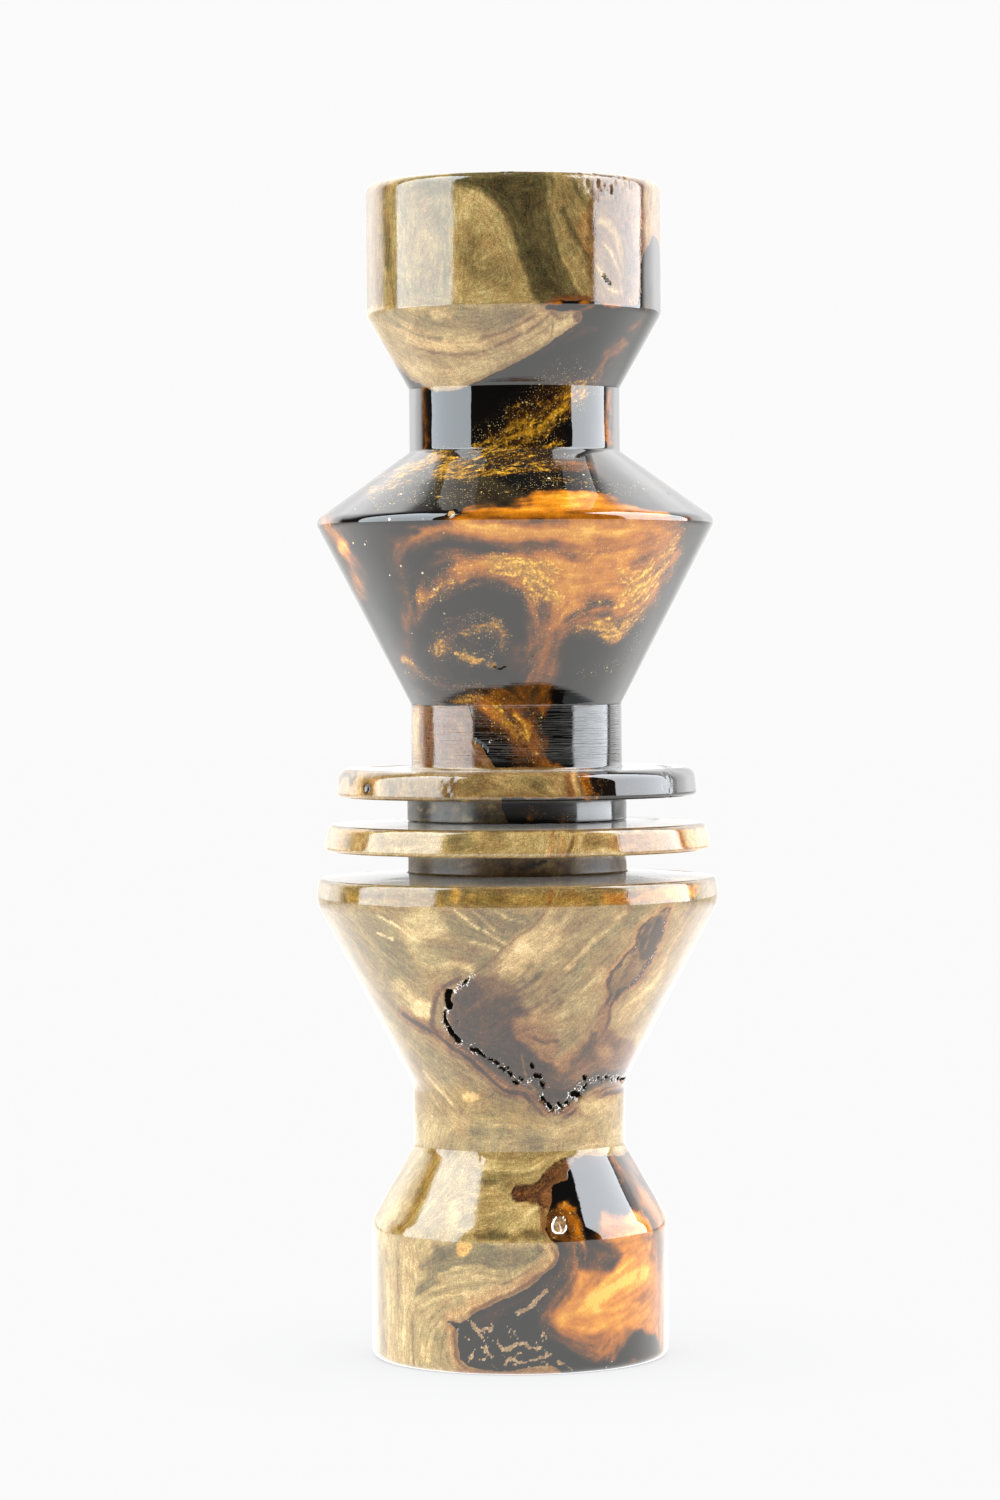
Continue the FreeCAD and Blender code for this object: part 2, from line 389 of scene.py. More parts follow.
RESIN_DISC1 = on(G3, [(992, 286), (1004, 320), (1012, 350), (1022, 380), (1036, 408), (1600, 408), (1600, 286)])
RESIN_CORE1 = on(G3, [(720, 404), (715, 440), (728, 470), (735, 500), (1300, 500), (1300, 404)])
RESIN_BASE = on(G5, [
    (1700, 150), (1300, 175), (1100, 180), (1040, 190), (1012, 250), (1004, 300), (960, 312), (930, 332),
    (926, 400), (916, 450), (905, 480), (902, 540), (922, 600), (955, 625), (965, 680), (940, 730),
    (880, 780), (800, 840), (700, 890), (600, 940), (540, 968), (505, 998), (470, 1012), (430, 1000),
    (398, 992), (410, 1006), (452, 1035), (462, 1062), (460, 1120), (475, 1180), (520, 1225),
    (600, 1246), (720, 1250), (800, 1238), (880, 1222), (930, 1218), (962, 1236), (990, 1270),
    (1000, 1330), (1010, 1500), (1700, 1500)])


def signed(u, v, polys):
    """Signed distance to a set of areas in grid units, positive inside."""
    best = np.full(u.shape, -60.0)
    for poly in polys:
        pts = np.array(poly, float)
        x0, y0 = pts.min(0) - 60
        x1, y1 = pts.max(0) + 60
        idx = np.nonzero((u > x0) & (u < x1) & (v > y0) & (v < y1))[0]
        d, inside = Canvas._dist(u[idx], v[idx], pts, True)
        d = np.where(inside, d, -d)
        best[idx] = np.maximum(best[idx], d)
    return best


# ======================================================================================
# the pattern of the blank
# ======================================================================================


def paint(c):
    L, P, S = c.line, c.patch, c.spot

    # ------------------------------------------------------------ mouth cylinder: burl
    P(G1, [(-100, 20), (1600, 20), (1600, 1200), (-100, 1200)], 4, tone=0.50, warm=0.22, rounded=False)
    P(G1, [(-100, 60), (140, 60), (135, 400), (120, 720), (-100, 760)], 50, tone=0.40, warm=0.42)
    L(G1, [(185, 90), (172, 250), (178, 420), (180, 710)], 46, 40, tone=0.50, warm=0.36)
    L(G1, [(160, 330), (165, 420), (158, 520)], 34, 30, tone=0.36, warm=0.25)
    P(G1, [(215, 90), (480, 80), (480, 700), (215, 710)], 60, tone=0.48, warm=0.24)
    S(G1, 330, 430, 90, 100, 90, tone=0.54, warm=0.25)
    S(G1, 400, 120, 90, 40, 70, tone=0.40, warm=0.12)
    S(G1, 300, 620, 110, 40, 60, tone=0.44, warm=0.2)
    P(G1, [(495, 150), (640, 185), (740, 310), (790, 450), (850, 610), (905, 715), (495, 715)], 60, tone=0.60, warm=0.28)
    S(G1, 600, 240, 100, 60, 90, tone=0.64, warm=0.28)
    S(G1, 690, 560, 120, 70, 120, tone=0.50, warm=0.2, o=0.8)
    S(G1, 540, 420, 60, 120, 80, tone=0.47, warm=0.3, o=0.8)
    P(G1, [(500, 60), (930, 55), (950, 200), (985, 350), (1020, 480), (1080, 600), (1150, 705),
           (905, 705), (850, 570), (790, 420), (730, 270), (640, 165), (500, 120)], 40, tone=0.28, warm=0.10)
    S(G1, 860, 160, 70, 110, 60, angle=-15, tone=0.20, warm=0.10)
    S(G1, 910, 520, 50, 120, 60, angle=-25, tone=0.22, warm=0.14)
    S(G1, 700, 120, 90, 30, 40, tone=0.24, warm=0.1)
    L(G1, [(945, 95), (955, 220), (985, 340), (1010, 450), (1060, 560), (1135, 690)], 16, 16, tone=0.52, warm=0.24)
    L(G1, [(1000, 80), (1040, 180), (1090, 260), (1150, 330)], 26, 24, tone=0.50, warm=0.2)
    L(G1, [(1060, 95), (1110, 190), (1160, 250)], 20, 18, tone=0.30, warm=0.12)
    L(G1, [(1010, 330), (1070, 460), (1130, 560), (1165, 600)], 22, 22, tone=0.52, warm=0.3)
    L(G1, [(1020, 240), (1080, 370), (1140, 480)], 20, 20, tone=0.28, warm=0.12)
    P(G1, [(1085, 310), (1165, 250), (1165, 450), (1125, 440)], 30, tone=0.50, warm=0.60)
    P(G1, [(1165, 90), (1410, 95), (1410, 700), (1165, 690)], 30, tone=0.36, warm=0.60)
    L(G1, [(1200, 300), (1250, 330), (1280, 400), (1300, 520), (1310, 640)], 30, 26, tone=0.55, warm=0.5)
    L(G1, [(1350, 250), (1340, 380), (1350, 520), (1340, 650)], 44, 30, tone=0.30, warm=0.75)
    L(G1, [(1185, 520), (1215, 570), (1250, 630), (1290, 650)], 14, 12, tone=0.66, warm=0.4)
    L(G1, [(1190, 480), (1240, 520), (1285, 590), (1290, 640)], 16, 12, tone=0.34, warm=0.4)
    L(G1, [(1400, 275), (1345, 290), (1325, 340), (1340, 420), (1385, 470)], 14, 10, tone=0.24, warm=0.95)
    L(G1, [(1175, 330), (1220, 350), (1262, 420), (1300, 520), (1320, 620)], 10, 10, tone=0.30, warm=0.75)
    L(G1, [(1180, 420), (1215, 470), (1262, 520), (1302, 590), (1312, 650)], 9, 9, tone=0.34, warm=0.6)
    L(G1, [(1205, 400), (1250, 450), (1290, 540)], 9, 9, tone=0.62, warm=0.4)
    L(G1, [(1178, 560), (1200, 620), (1240, 668)], 9, 9, tone=0.36, warm=0.6)
    S(G1, 1236, 594, 30, 14, 12, angle=58, tone=0.22, warm=0.4)
    L(G1, [(1212, 570), (1230, 590), (1246, 604)], 9, 7, jit=0.4, pit=0.28)
    L(G1, [(1246, 604), (1266, 622)], 5, 5, jit=0.4, pit=0.12)
    L(G1, [(1414, 95), (1412, 240), (1412, 400), (1410, 470)], 30, 16, tone=0.28, warm=0.95)
    L(G1, [(1412, 250), (1414, 330)], 22, 16, tone=0.42, warm=1.0)
    P(G1, [(1428, 95), (1560, 110), (1560, 250), (1470, 335), (1425, 425)], 14, tone=0.48, warm=0.6)
    L(G1, [(60, 84), (300, 66), (760, 52), (1100, 62), (1520, 108)], 9, 8, tone=0.22, warm=0.7)
    P(G1, [(1040, 62), (1170, 64), (1280, 80), (1360, 110), (1330, 150), (1180, 190), (1100, 150)], 40, jit=2.5, rough=1.0)
    S(G1, 745, 66, 26, 14, 12, rough=1.0)
    P(G1, [(930, 700), (1010, 668), (1100, 662), (1190, 690), (1190, 716), (930, 716)], 16, warm=0.95, tone=0.30)

    # ------------------------------------------------------------ mouth cone: burl lobe
    P(G1, [(-100, 716), (940, 716), (1140, 735), (1130, 800), (980, 885), (700, 1045), (480, 1140), (330, 1115), (-100, 900)],
      8, tone=0.62, warm=0.42, rounded=False)
    P(G1, [(100, 735), (480, 722), (800, 722), (900, 770), (760, 815), (560, 850), (330, 830), (160, 790)], 50, tone=0.50, warm=0.3)
    S(G1, 420, 760, 60, 28, 30, tone=0.66, warm=0.45)
    L(G1, [(235, 830), (320, 885), (430, 912), (560, 908), (700, 872), (830, 805), (930, 742)], 56, 44, tone=0.66, warm=0.62)
    S(G1, 400, 915, 110, 24, 34, angle=8, tone=0.72, warm=0.7)
    L(G1, [(300, 925), (450, 955), (590, 945), (720, 905), (860, 830), (950, 770)], 12, 12, tone=0.42, warm=0.62)
    L(G1, [(620, 870), (760, 830), (880, 765)], 16, 14, tone=0.42, warm=0.75)
    L(G1, [(580, 965), (760, 920), (900, 850), (970, 800)], 10, 12, tone=0.50, warm=0.6)
    L(G1, [(150, 780), (290, 850), (420, 880)], 14, 14, tone=0.46, warm=0.3)
    L(G1, [(270, 1000), (400, 1050), (540, 1040), (680, 985)], 60, 50, tone=0.66, warm=0.45)
    P(G1, [(960, 812), (1080, 775), (1080, 815), (985, 868)], 14, tone=0.74, warm=0.45)
    S(G1, 1096, 768, 22, 26, 14, tone=0.30, warm=0.75)
    S(G1, 1100, 775, 18, 20, 12, rough=0.8)
    L(G1, [(960, 745), (1000, 770), (1040, 770)], 12, 10, tone=0.34, warm=0.7)
    L(G1, [(975, 800), (965, 860)], 8, 8, tone=0.4, warm=0.6)

    # ------------------------------------------------------------ mouth cone: resin
    L(G1, [(1120, 800), (1040, 850), (960, 905), (900, 950)], 22, 20, amber=0.30)
    L(G1, [(1320, 895), (1260, 950), (1210, 1020), (1165, 1095)], 30, 28, amber=0.52)
    L(G1, [(1180, 840), (1100, 860), (1020, 900)], 22, 24, amber=0.28)
    L(G1, [(1420, 720), (1400, 780), (1350, 850)], 26, 26, amber=0.36)
    L(G1, [(930, 730), (1050, 738), (1180, 730)], 16, 12, amber=0.34)
    L(G1, [(928, 704), (975, 698), (1010, 694)], 20, 12, amber=0.66)
    L(G1, [(1110, 700), (1180, 706), (1300, 716)], 20, 12, amber=0.66)

    # ------------------------------------------------------------ upper neck: resin
    L(G0, [(488, 450), (508, 438), (530, 422), (552, 404), (572, 388)], 46, 22, gold=0.44, amber=0.13)
    L(G0, [(500, 449), (516, 436), (532, 424), (550, 408), (568, 391)], 26, 16, gold=0.72, amber=0.30)
    S(G0, 538, 426, 18, 11, 10, angle=-35, gold=0.92, amber=0.42)
    L(G0, [(545, 404), (560, 396), (575, 390)], 12, 12, gold=0.55, amber=0.25)
    L(G0, [(425, 392), (425, 446)], 5, 5, amber=0.55)
    L(G0, [(609, 392), (609, 446)], 5, 5, amber=0.55)

    # ------------------------------------------------------------ bulge, upper cone
    P(G2, [(180, 210), (300, 120), (450, 50), (640, 30), (960, 30), (1040, 90), (960, 140), (640, 148), (480, 170), (330, 230)],
      40, gold=0.36, amber=0.12)
    P(G2, [(470, 60), (560, 50), (625, 90), (600, 140), (520, 155), (470, 130)], 40, gold=0.80, amber=0.24)
    S(G2, 525, 110, 48, 26, 30, angle=-50, gold=0.95, amber=0.3)
    S(G2, 590, 118, 26, 16, 20, angle=-40, gold=0.9, amber=0.3)
    L(G2, [(230, 195), (320, 140), (400, 105), (470, 75)], 44, 40, gold=0.72, amber=0.2)
    L(G2, [(260, 250), (360, 200), (470, 190)], 30, 40, gold=0.48, amber=0.1)
    L(G2, [(640, 150), (700, 112), (790, 100), (880, 112), (960, 122)], 40, 34, gold=0.82, amber=0.26)
    L(G2, [(640, 62), (760, 40), (900, 30), (960, 10)], 46, 40, gold=0.66, amber=0.2)
    P(G2, [(930, 80), (1090, 70), (1110, 130), (950, 140)], 30, amber=0.34, gold=0.2)
    L(G2, [(640, 142), (800, 148), (960, 146), (1080, 150)], 12, 10, amber=0.0, gold=0.0)
    P(G2, [(380, 165), (640, 158), (1300, 160), (1300, 205), (820, 205), (600, 240), (400, 250)], 24, gold=0.38, amber=0.06)
    P(G2, [(560, 290), (600, 262), (740, 238), (830, 214), (1000, 205), (1120, 212), (1300, 255), (1440, 300), (1440, 320), (560, 320)],
      14, jit=0.45, amber=0.84, gold=0.10)
    S(G2, 960, 240, 150, 24, 36, amber=0.93, gold=0.2)
    S(G2, 800, 290, 150, 12, 20, amber=0.98, gold=0.3)
    L(G2, [(600, 268), (740, 244), (840, 222)], 12, 12, amber=0.45)
    S(G2, 542, 280, 15, 12, 6, gold=0.0, amber=0.0, chip=1.0)
    L(G2, [(532, 292), (548, 272)], 10, 6, jit=0.5, pit=0.16)

    # ------------------------------------------------------------ bulge, lower cone
    P(G2, [(330, 320), (1440, 320), (1380, 500), (1240, 700), (1120, 860), (960, 1000), (560, 1000), (420, 860), (330, 600)],
      60, amber=0.13, gold=0.04)
    P(G2, [(560, 330), (1420, 330), (1360, 500), (1230, 680), (1000, 760), (860, 760), (800, 620), (640, 500), (480, 460)],
      60, amber=0.40, gold=0.20)
    L(G2, [(45, 318), (90, 370), (130, 430), (170, 520), (190, 590)], 52, 44, amber=0.62, gold=0.30)
    S(G2, 122, 420, 22, 44, 26, angle=-22, amber=0.9, gold=0.6)
    P(G2, [(470, 316), (1440, 316), (1400, 400), (1280, 430), (1100, 420), (900, 405), (700, 395), (560, 372), (470, 372), (420, 384), (360, 400), (400, 350)],
      36, amber=0.76, gold=0.22)
    L(G2, [(560, 335), (720, 352), (900, 350), (1100, 352), (1330, 340)], 44, 40, amber=0.88, gold=0.32)
    L(G2, [(350, 420), (420, 392), (500, 376), (640, 392), (780, 404), (930, 408), (1080, 440), (1200, 450)], 30, 24, amber=0.42, gold=0.1)
    L(G2, [(660, 400), (820, 420), (960, 432), (1100, 445), (1260, 420)], 18, 16, amber=0.36)
    L(G2, [(405, 480), (450, 434), (530, 408), (640, 416), (760, 440)], 32, 26, amber=0.07, gold=0.0)
    L(G2, [(345, 415), (348, 500), (370, 560), (385, 640), (365, 740), (352, 850)], 46, 40, amber=0.36, gold=0.12)
    S(G2, 352, 445, 34, 60, 50, amber=0.34, gold=0.08)
    L(G2, [(420, 690), (430, 640), (480, 590), (545, 548), (620, 515)], 30, 24, amber=0.44, gold=0.34)
    L(G2, [(430, 600), (500, 545), (600, 495), (700, 472), (800, 475), (880, 495)], 60, 34, amber=0.54, gold=0.64)
    P(G2, [(790, 470), (940, 462), (1100, 470), (1240, 440), (1340, 380), (1410, 350), (1385, 450), (1310, 560), (1240, 640),
           (1180, 670), (1060, 690), (970, 730), (935, 790), (900, 830), (880, 790), (850, 700), (828, 640), (780, 570)],
      44, amber=0.84, gold=0.42)
    P(G2, [(560, 455), (680, 440), (800, 452), (900, 470), (960, 520), (960, 640), (930, 700), (870, 690), (820, 620), (740, 560), (640, 530), (560, 520)],
      50, amber=0.70, gold=0.44)
    L(G2, [(900, 470), (1040, 470), (1180, 460), (1300, 430)], 60, 40, amber=0.92, gold=0.50)
    L(G2, [(960, 560), (1060, 540), (1160, 520)], 60, 40, amber=0.88, gold=0.40)
    L(G2, [(690, 462), (800, 470), (900, 500), (945, 520)], 40, 28, amber=0.62, gold=0.76)
    L(G2, [(780, 500), (850, 540), (895, 600), (905, 680)], 84, 40, amber=0.74, gold=0.82)
    L(G2, [(700, 500), (800, 530), (860, 580)], 20, 20, amber=0.6, gold=0.9)
    S(G2, 870, 580, 50, 30, 36, angle=40, amber=0.7, gold=0.92)
    # partly the resin's own amber and gold, partly a painted reflection: lighter here to stand in for the bright veil
    # reflected near the bulge's right edge
    P(G2, [(1240, 400), (1440, 350), (1400, 520), (1300, 680), (1190, 670), (1200, 540)], 50, amber=0.66, gold=0.40)
    L(G2, [(1400, 360), (1370, 420), (1310, 500), (1260, 590), (1230, 650)], 70, 40, amber=0.70, gold=0.76)
    L(G2, [(1185, 510), (1240, 560), (1290, 590)], 44, 30, amber=0.70, gold=0.78)
    S(G2, 1250, 560, 40, 60, 36, angle=30, amber=0.74, gold=0.88)
    L(G2, [(1020, 740), (1120, 705), (1200, 705), (1270, 690)], 40, 24, amber=0.56, gold=0.78)
    L(G2, [(1120, 720), (1180, 740), (1220, 700)], 50, 30, amber=0.6, gold=0.86)
    S(G2, 1160, 755, 54, 34, 30, angle=-35, amber=0.55, gold=0.86)
    S(G2, 1110, 630, 60, 28, 36, amber=0.30, gold=0.42)
    L(G2, [(970, 700), (1060, 660), (1160, 640)], 20, 20, amber=0.30, gold=0.4)
    P(G2, [(450, 720), (470, 660), (520, 610), (600, 578), (700, 572), (790, 590), (835, 650), (860, 760), (850, 850),
           (800, 900), (700, 900), (560, 880), (470, 830), (430, 780)], 40, amber=0.06, gold=0.02)
    L(G2, [(490, 600), (580, 572), (700, 562), (790, 572)], 14, 14, amber=0.32, gold=0.3)
    P(G2, [(470, 800), (500, 760), (560, 740), (600, 715), (680, 712), (740, 740), (735, 790), (690, 830), (640, 860), (560, 850), (490, 830)],
      40, amber=0.20, gold=0.34)
    L(G2, [(480, 800), (500, 765), (560, 748), (620, 724), (700, 722), (742, 752), (728, 790)], 40, 26, amber=0.30, gold=0.60)
    L(G2, [(520, 700), (600, 675), (680, 676), (730, 700)], 24, 20, amber=0.22, gold=0.52)
    L(G2, [(500, 820), (560, 800), (620, 790), (680, 800)], 26, 22, amber=0.26, gold=0.56)
    L(G2, [(560, 806), (600, 830), (620, 856), (660, 850), (700, 862)], 26, 18, amber=0.3, gold=0.86)
    L(G2, [(600, 684), (680, 680), (720, 690)], 12, 12, gold=0.5, amber=0.2)
    L(G2, [(560, 770), (640, 778), (700, 775)], 16, 14, amber=0.05, gold=0.0)
    L(G2, [(890, 690), (895, 780), (885, 860), (868, 930)], 100, 56, amber=0.56, gold=0.22)
    L(G2, [(930, 760), (910, 850), (890, 920)], 26, 26, amber=0.50, gold=0.16)
    S(G2, 790, 840, 40, 50, 50, amber=0.26)
    P(G2, [(960, 850), (990, 800), (1050, 765), (1110, 775), (1180, 830), (1180, 900), (1100, 960), (980, 940)], 44, amber=0.04, gold=0.04)
    L(G2, [(1020, 900), (1090, 880), (1150, 850)], 20, 24, gold=0.42, amber=0.1)
    P(G2, [(1440, 330), (1600, 300), (1250, 980), (1150, 960), (1210, 820), (1280, 690), (1340, 590), (1400, 470)], 44, amber=0.05, gold=0.05)
    L(G2, [(1180, 880), (1220, 800), (1260, 730)], 14, 16, gold=0.4, amber=0.14)
    L(G2, [(345, 846), (372, 866), (400, 880)], 20, 14, gold=0.86, amber=0.5)
    L(G2, [(370, 880), (470, 900), (560, 922), (620, 936), (650, 930)], 26, 20, amber=0.46, gold=0.5)
    L(G2, [(400, 950), (480, 985), (540, 990)], 20, 18, amber=0.3, gold=0.3)
    P(G2, [(540, 985), (600, 965), (680, 960), (720, 1000), (660, 1012), (560, 1010)], 18, gold=0.86, amber=0.42)
    P(G2, [(700, 950), (930, 950), (925, 1014), (720, 1014)], 20, amber=0.42, gold=0.16)
    P(G2, [(930, 950), (1090, 975), (1080, 1014), (930, 1014)], 14, amber=0.03, gold=0.0)
    L(G2, [(704, 878), (724, 884), (746, 876)], 8, 5, jit=0.3, pit=0.12)
    L(G2, [(825, 840), (842, 842), (858, 838)], 5, 4, jit=0.3, pit=0.08)
    L(G2, [(1365, 200), (1378, 212)], 6, 4, jit=0.3, pit=0.08)
    L(G2, [(690, 600), (700, 610)], 5, 4, jit=0.3, pit=0.06)

    # ------------------------------------------------------------ lower neck of the barrel
    P(G3, [(280, 60), (604, 60), (612, 150), (640, 215), (695, 288), (280, 288)], 6, tone=0.36, warm=0.85, rounded=False)
    L(G3, [(392, 60), (394, 288)], 30, 26, tone=0.62, warm=0.6)
    L(G3, [(436, 66), (438, 282)], 22, 18, tone=0.34, warm=1.0)
    L(G3, [(612, 150), (622, 198), (650, 214), (660, 246), (690, 284)], 18, 12, tone=0.56, warm=0.75)
    L(G3, [(640, 230), (660, 270), (672, 286)], 16, 14, tone=0.40, warm=0.95)
    L(G3, [(616, 190), (640, 212), (656, 228)], 7, 5, jit=0.5, pit=0.14)
    L(G3, [(690, 70), (735, 110), (790, 165), (835, 220), (880, 272)], 150, 60, amber=0.56, gold=0.36)
    L(G3, [(700, 70), (740, 110), (775, 150)], 50, 30, amber=0.58, gold=0.70)
    L(G3, [(770, 80), (800, 130), (812, 190), (850, 252)], 14, 12, amber=0.72, gold=0.9)
    L(G3, [(712, 64), (726, 92), (748, 116)], 16, 12, amber=0.6, gold=0.9)
    L(G3, [(840, 80), (858, 130), (880, 200), (905, 260)], 36, 30, amber=0.42, gold=0.2)
    L(G3, [(855, 96), (870, 120)], 20, 18, amber=0.4, gold=0.7)
    P(G3, [(905, 62), (1300, 62), (1300, 288), (935, 288), (915, 200)], 20, amber=0.02, gold=0.0)
    # painted glints on small rough spots of this neck
    S(G3, 672, 188, 7, 7, 5, jit=0.4, spark=0.9)
    S(G3, 700, 240, 4, 4, 4, jit=0.4, spark=0.8)
    L(G3, [(648, 172), (668, 150), (694, 136), (716, 106)], 3, 4, jit=0.5, spark=0.4)

    # ------------------------------------------------------------ upper disc
    P(G3, [(60, 288), (1010, 288), (1045, 414), (60, 414)], 6, tone=0.50, warm=0.42, rounded=False)
    P(G3, [(60, 290), (200, 290), (190, 410), (60, 410)], 40, tone=0.56, warm=0.62)
    P(G3, [(230, 300), (500, 300), (500, 404), (230, 404)], 30, tone=0.44, warm=0.42, o=0.8)
    L(G3, [(146, 306), (150, 350), (160, 330), (172, 306)], 12, 10, tone=0.25, warm=0.1)
    S(G3, 216, 368, 15, 22, 8, angle=18, tone=0.14, warm=0.5)
    S(G3, 216, 370, 7, 12, 6, angle=18, jit=0.4, pit=0.22)
    L(G3, [(240, 340), (255, 380)], 30, 24, tone=0.60, warm=0.8)
    S(G3, 410, 350, 120, 40, 60, tone=0.44, warm=0.4)
    S(G3, 520, 360, 30, 40, 30, tone=0.36, warm=0.5, rough=0.5)
    S(G3, 610, 350, 50, 40, 46, tone=0.44, warm=0.3)
    S(G3, 720, 362, 60, 36, 50, tone=0.53, warm=0.32)
    S(G3, 850, 340, 60, 30, 50, tone=0.42, warm=0.25)
    S(G3, 930, 380, 40, 24, 36, tone=0.58, warm=0.4)
    L(G3, [(960, 320), (975, 400)], 24, 16, tone=0.36, warm=1.0)
    L(G3, [(986, 300), (994, 405)], 12, 10, tone=0.54, warm=0.95)
    L(G3, [(560, 316), (760, 312), (960, 316)], 10, 12, tone=0.40, warm=0.5)
    P(G3, [(1000, 306), (1060, 300), (1088, 340), (1088, 405), (1040, 405), (1015, 360)], 12, amber=0.52, gold=0.35)
    S(G3, 1066, 328, 12, 20, 8, amber=0.05, gold=0.0)
    L(G3, [(1020, 330), (1044, 400)], 12, 10, amber=0.75, gold=0.4)
    P(G3, [(1090, 300), (1310, 300), (1310, 405), (1100, 405)], 16, amber=0.10, gold=0.1)
    P(G3, [(1320, 296), (1350, 296), (1358, 405), (1326, 405)], 8, amber=0.0, gold=0.0, rough=0.5)

    P(G3, [(340, 52), (1160, 52), (1160, 292), (340, 292)], 10, rounded=False, brush=1.0)
    P(G3, [(200, 408), (1400, 408), (1400, 502), (200, 502)], 4, rounded=False, matte=0.55)
    P(G3, [(960, 408), (1400, 408), (1400, 502), (960, 502)], 90, rounded=False, matte=0.15)
    P(G3, [(200, 622), (1400, 622), (1400, 708), (200, 708)], 4, rounded=False, matte=0.7)
    P(G2, [(0, 300), (1600, 300), (1200, 1010), (300, 1010)], 10, rounded=False, brush=0.10)
    P(G2, [(100, 300), (480, 300), (700, 420), (520, 720), (300, 700)], 30, dust=0.30)
    P(G2, [(300, 40), (1100, 40), (1200, 190), (300, 220)], 30, dust=0.16)
    # ------------------------------------------------------------ upper groove floor
    P(G3, [(280, 412), (724, 412), (735, 500), (280, 500)], 6, tone=0.34, warm=0.16, rounded=False)
    S(G3, 520, 445, 40, 20, 26, tone=0.40, warm=0.15)
    S(G3, 420, 450, 40, 26, 26, tone=0.22, warm=0.2)
    S(G3, 640, 440, 40, 24, 26, tone=0.36, warm=0.3)
    P(G3, [(780, 420), (920, 420), (930, 480), (800, 480)], 30, amber=0.16, gold=0.1)
    spots = random.Random(41)
    for _ in range(22):
        x, y = spots.uniform(300, 715), spots.uniform(418, 492)
        S(G3, x, y, spots.uniform(10, 26), spots.uniform(6, 13), 12, angle=spots.uniform(-40, 40),
          tone=spots.choice((0.10, 0.14, 0.60, 0.68)), warm=spots.uniform(0.1, 0.5))
    for _ in range(10):
        x, y = spots.uniform(740, 1000), spots.uniform(420, 490)
        S(G3, x, y, spots.uniform(10, 30), spots.uniform(6, 12), 14, angle=spots.uniform(-20, 20),
          amber=spots.uniform(0.3, 0.55), gold=spots.uniform(0.3, 0.6))

    # ------------------------------------------------------------ lower disc
    P(G3, [(0, 498), (1600, 498), (1600, 632), (0, 632)], 5, tone=0.61, warm=0.34, rounded=False)
    P(G3, [(20, 510), (210, 515), (190, 615), (20, 610)], 30, tone=0.60, warm=0.52)
    S(G3, 130, 565, 40, 26, 36, tone=0.50, warm=0.4)
    S(G3, 350, 565, 130, 36, 60, tone=0.55, warm=0.34)
    S(G3, 560, 570, 50, 40, 40, tone=0.47, warm=0.20)
    S(G3, 660, 590, 60, 24, 40, tone=0.56, warm=0.3)
    S(G3, 690, 540, 40, 18, 30, tone=0.49, warm=0.28)
    S(G3, 790, 570, 44, 34, 36, tone=0.60, warm=0.32)
    L(G3, [(905, 540), (900, 620)], 20, 16, tone=0.52, warm=0.8)
    L(G3, [(945, 545), (940, 618)], 22, 14, tone=0.60, warm=0.85)
    L(G3, [(985, 545), (965, 618)], 12, 10, tone=0.42, warm=0.7)
    S(G3, 1060, 560, 46, 32, 36, tone=0.46, warm=0.42)
    L(G3, [(1010, 610), (1120, 600)], 20, 16, tone=0.66, warm=0.4)
    P(G3, [(1130, 540), (1360, 540), (1360, 600), (1150, 605)], 20, tone=0.52, warm=0.75)
    L(G3, [(1378, 530), (1400, 600)], 26, 16, tone=0.42, warm=1.0, sat=1.0)
    L(G3, [(1415, 530), (1440, 595)], 30, 22, tone=0.62, warm=0.9)
    # painted shadow: a darker band along the top of the lower disc, carried onto its flat top face, for the shade under
    # the upper groove
    P(G3, [(60, 500), (1450, 500), (1380, 522), (750, 530), (160, 522)], 8, tone=0.34, warm=0.42)

    # ------------------------------------------------------------ lower groove floor
    P(G3, [(280, 630), (1260, 630), (1260, 712), (280, 712)], 5, tone=0.46, warm=0.48, rounded=False)
    for _ in range(22):
        x, y = spots.uniform(310, 1230), spots.uniform(636, 706)
        S(G3, x, y, spots.uniform(12, 40), spots.uniform(6, 14), 14, angle=spots.uniform(-30, 30),
          tone=spots.choice((0.28, 0.34, 0.52, 0.60)), warm=spots.uniform(0.3, 0.8))
    L(G3, [(750, 696), (800, 668), (850, 648), (884, 634)], 7, 6, tone=0.08, warm=0.4)
    S(G3, 1080, 660, 60, 26, 40, tone=0.24, warm=0.55)
    S(G3, 480, 665, 90, 20, 50, tone=0.31, warm=0.28)
    L(G3, [(1150, 630), (1165, 690)], 6, 6, tone=0.14, warm=0.4)

    # ------------------------------------------------------------ insert: top face and rim band
    P(G4, [(0, 8), (1600, 8), (1600, 140), (0, 140)], 6, tone=0.465, warm=0.30, rounded=False)
    P(G4, [(0, 8), (1600, 8), (1600, 56), (0, 56)], 8, tone=0.36, warm=0.45, rounded=False)
    L(G4, [(160, 100), (300, 108), (480, 112)], 40, 30, tone=0.44, warm=0.3, sat=0.8)
    S(G4, 230, 96, 40, 14, 16, tone=0.30, warm=0.3)
    S(G4, 540, 95, 20, 30, 20, tone=0.585, warm=0.5, sat=1.0)
    L(G4, [(600, 105), (760, 112), (920, 110), (1080, 108)], 40, 30, tone=0.46, warm=0.25, sat=0.8)
    S(G4, 700, 100, 40, 14, 20, tone=0.34, warm=0.2)
    S(G4, 985, 96, 40, 14, 20, tone=0.38, warm=0.3)
    L(G4, [(905, 72), (886, 130)], 10, 8, tone=0.465, warm=0.9)
    L(G4, [(1110, 112), (1200, 104), (1330, 90), (1430, 74)], 44, 24, tone=0.505, warm=0.85, sat=1.0)
    S(G4, 1210, 92, 30, 12, 16, tone=0.30, warm=0.6)
    S(G4, 1380, 84, 50, 20, 24, tone=0.625, warm=0.9, sat=1.0)

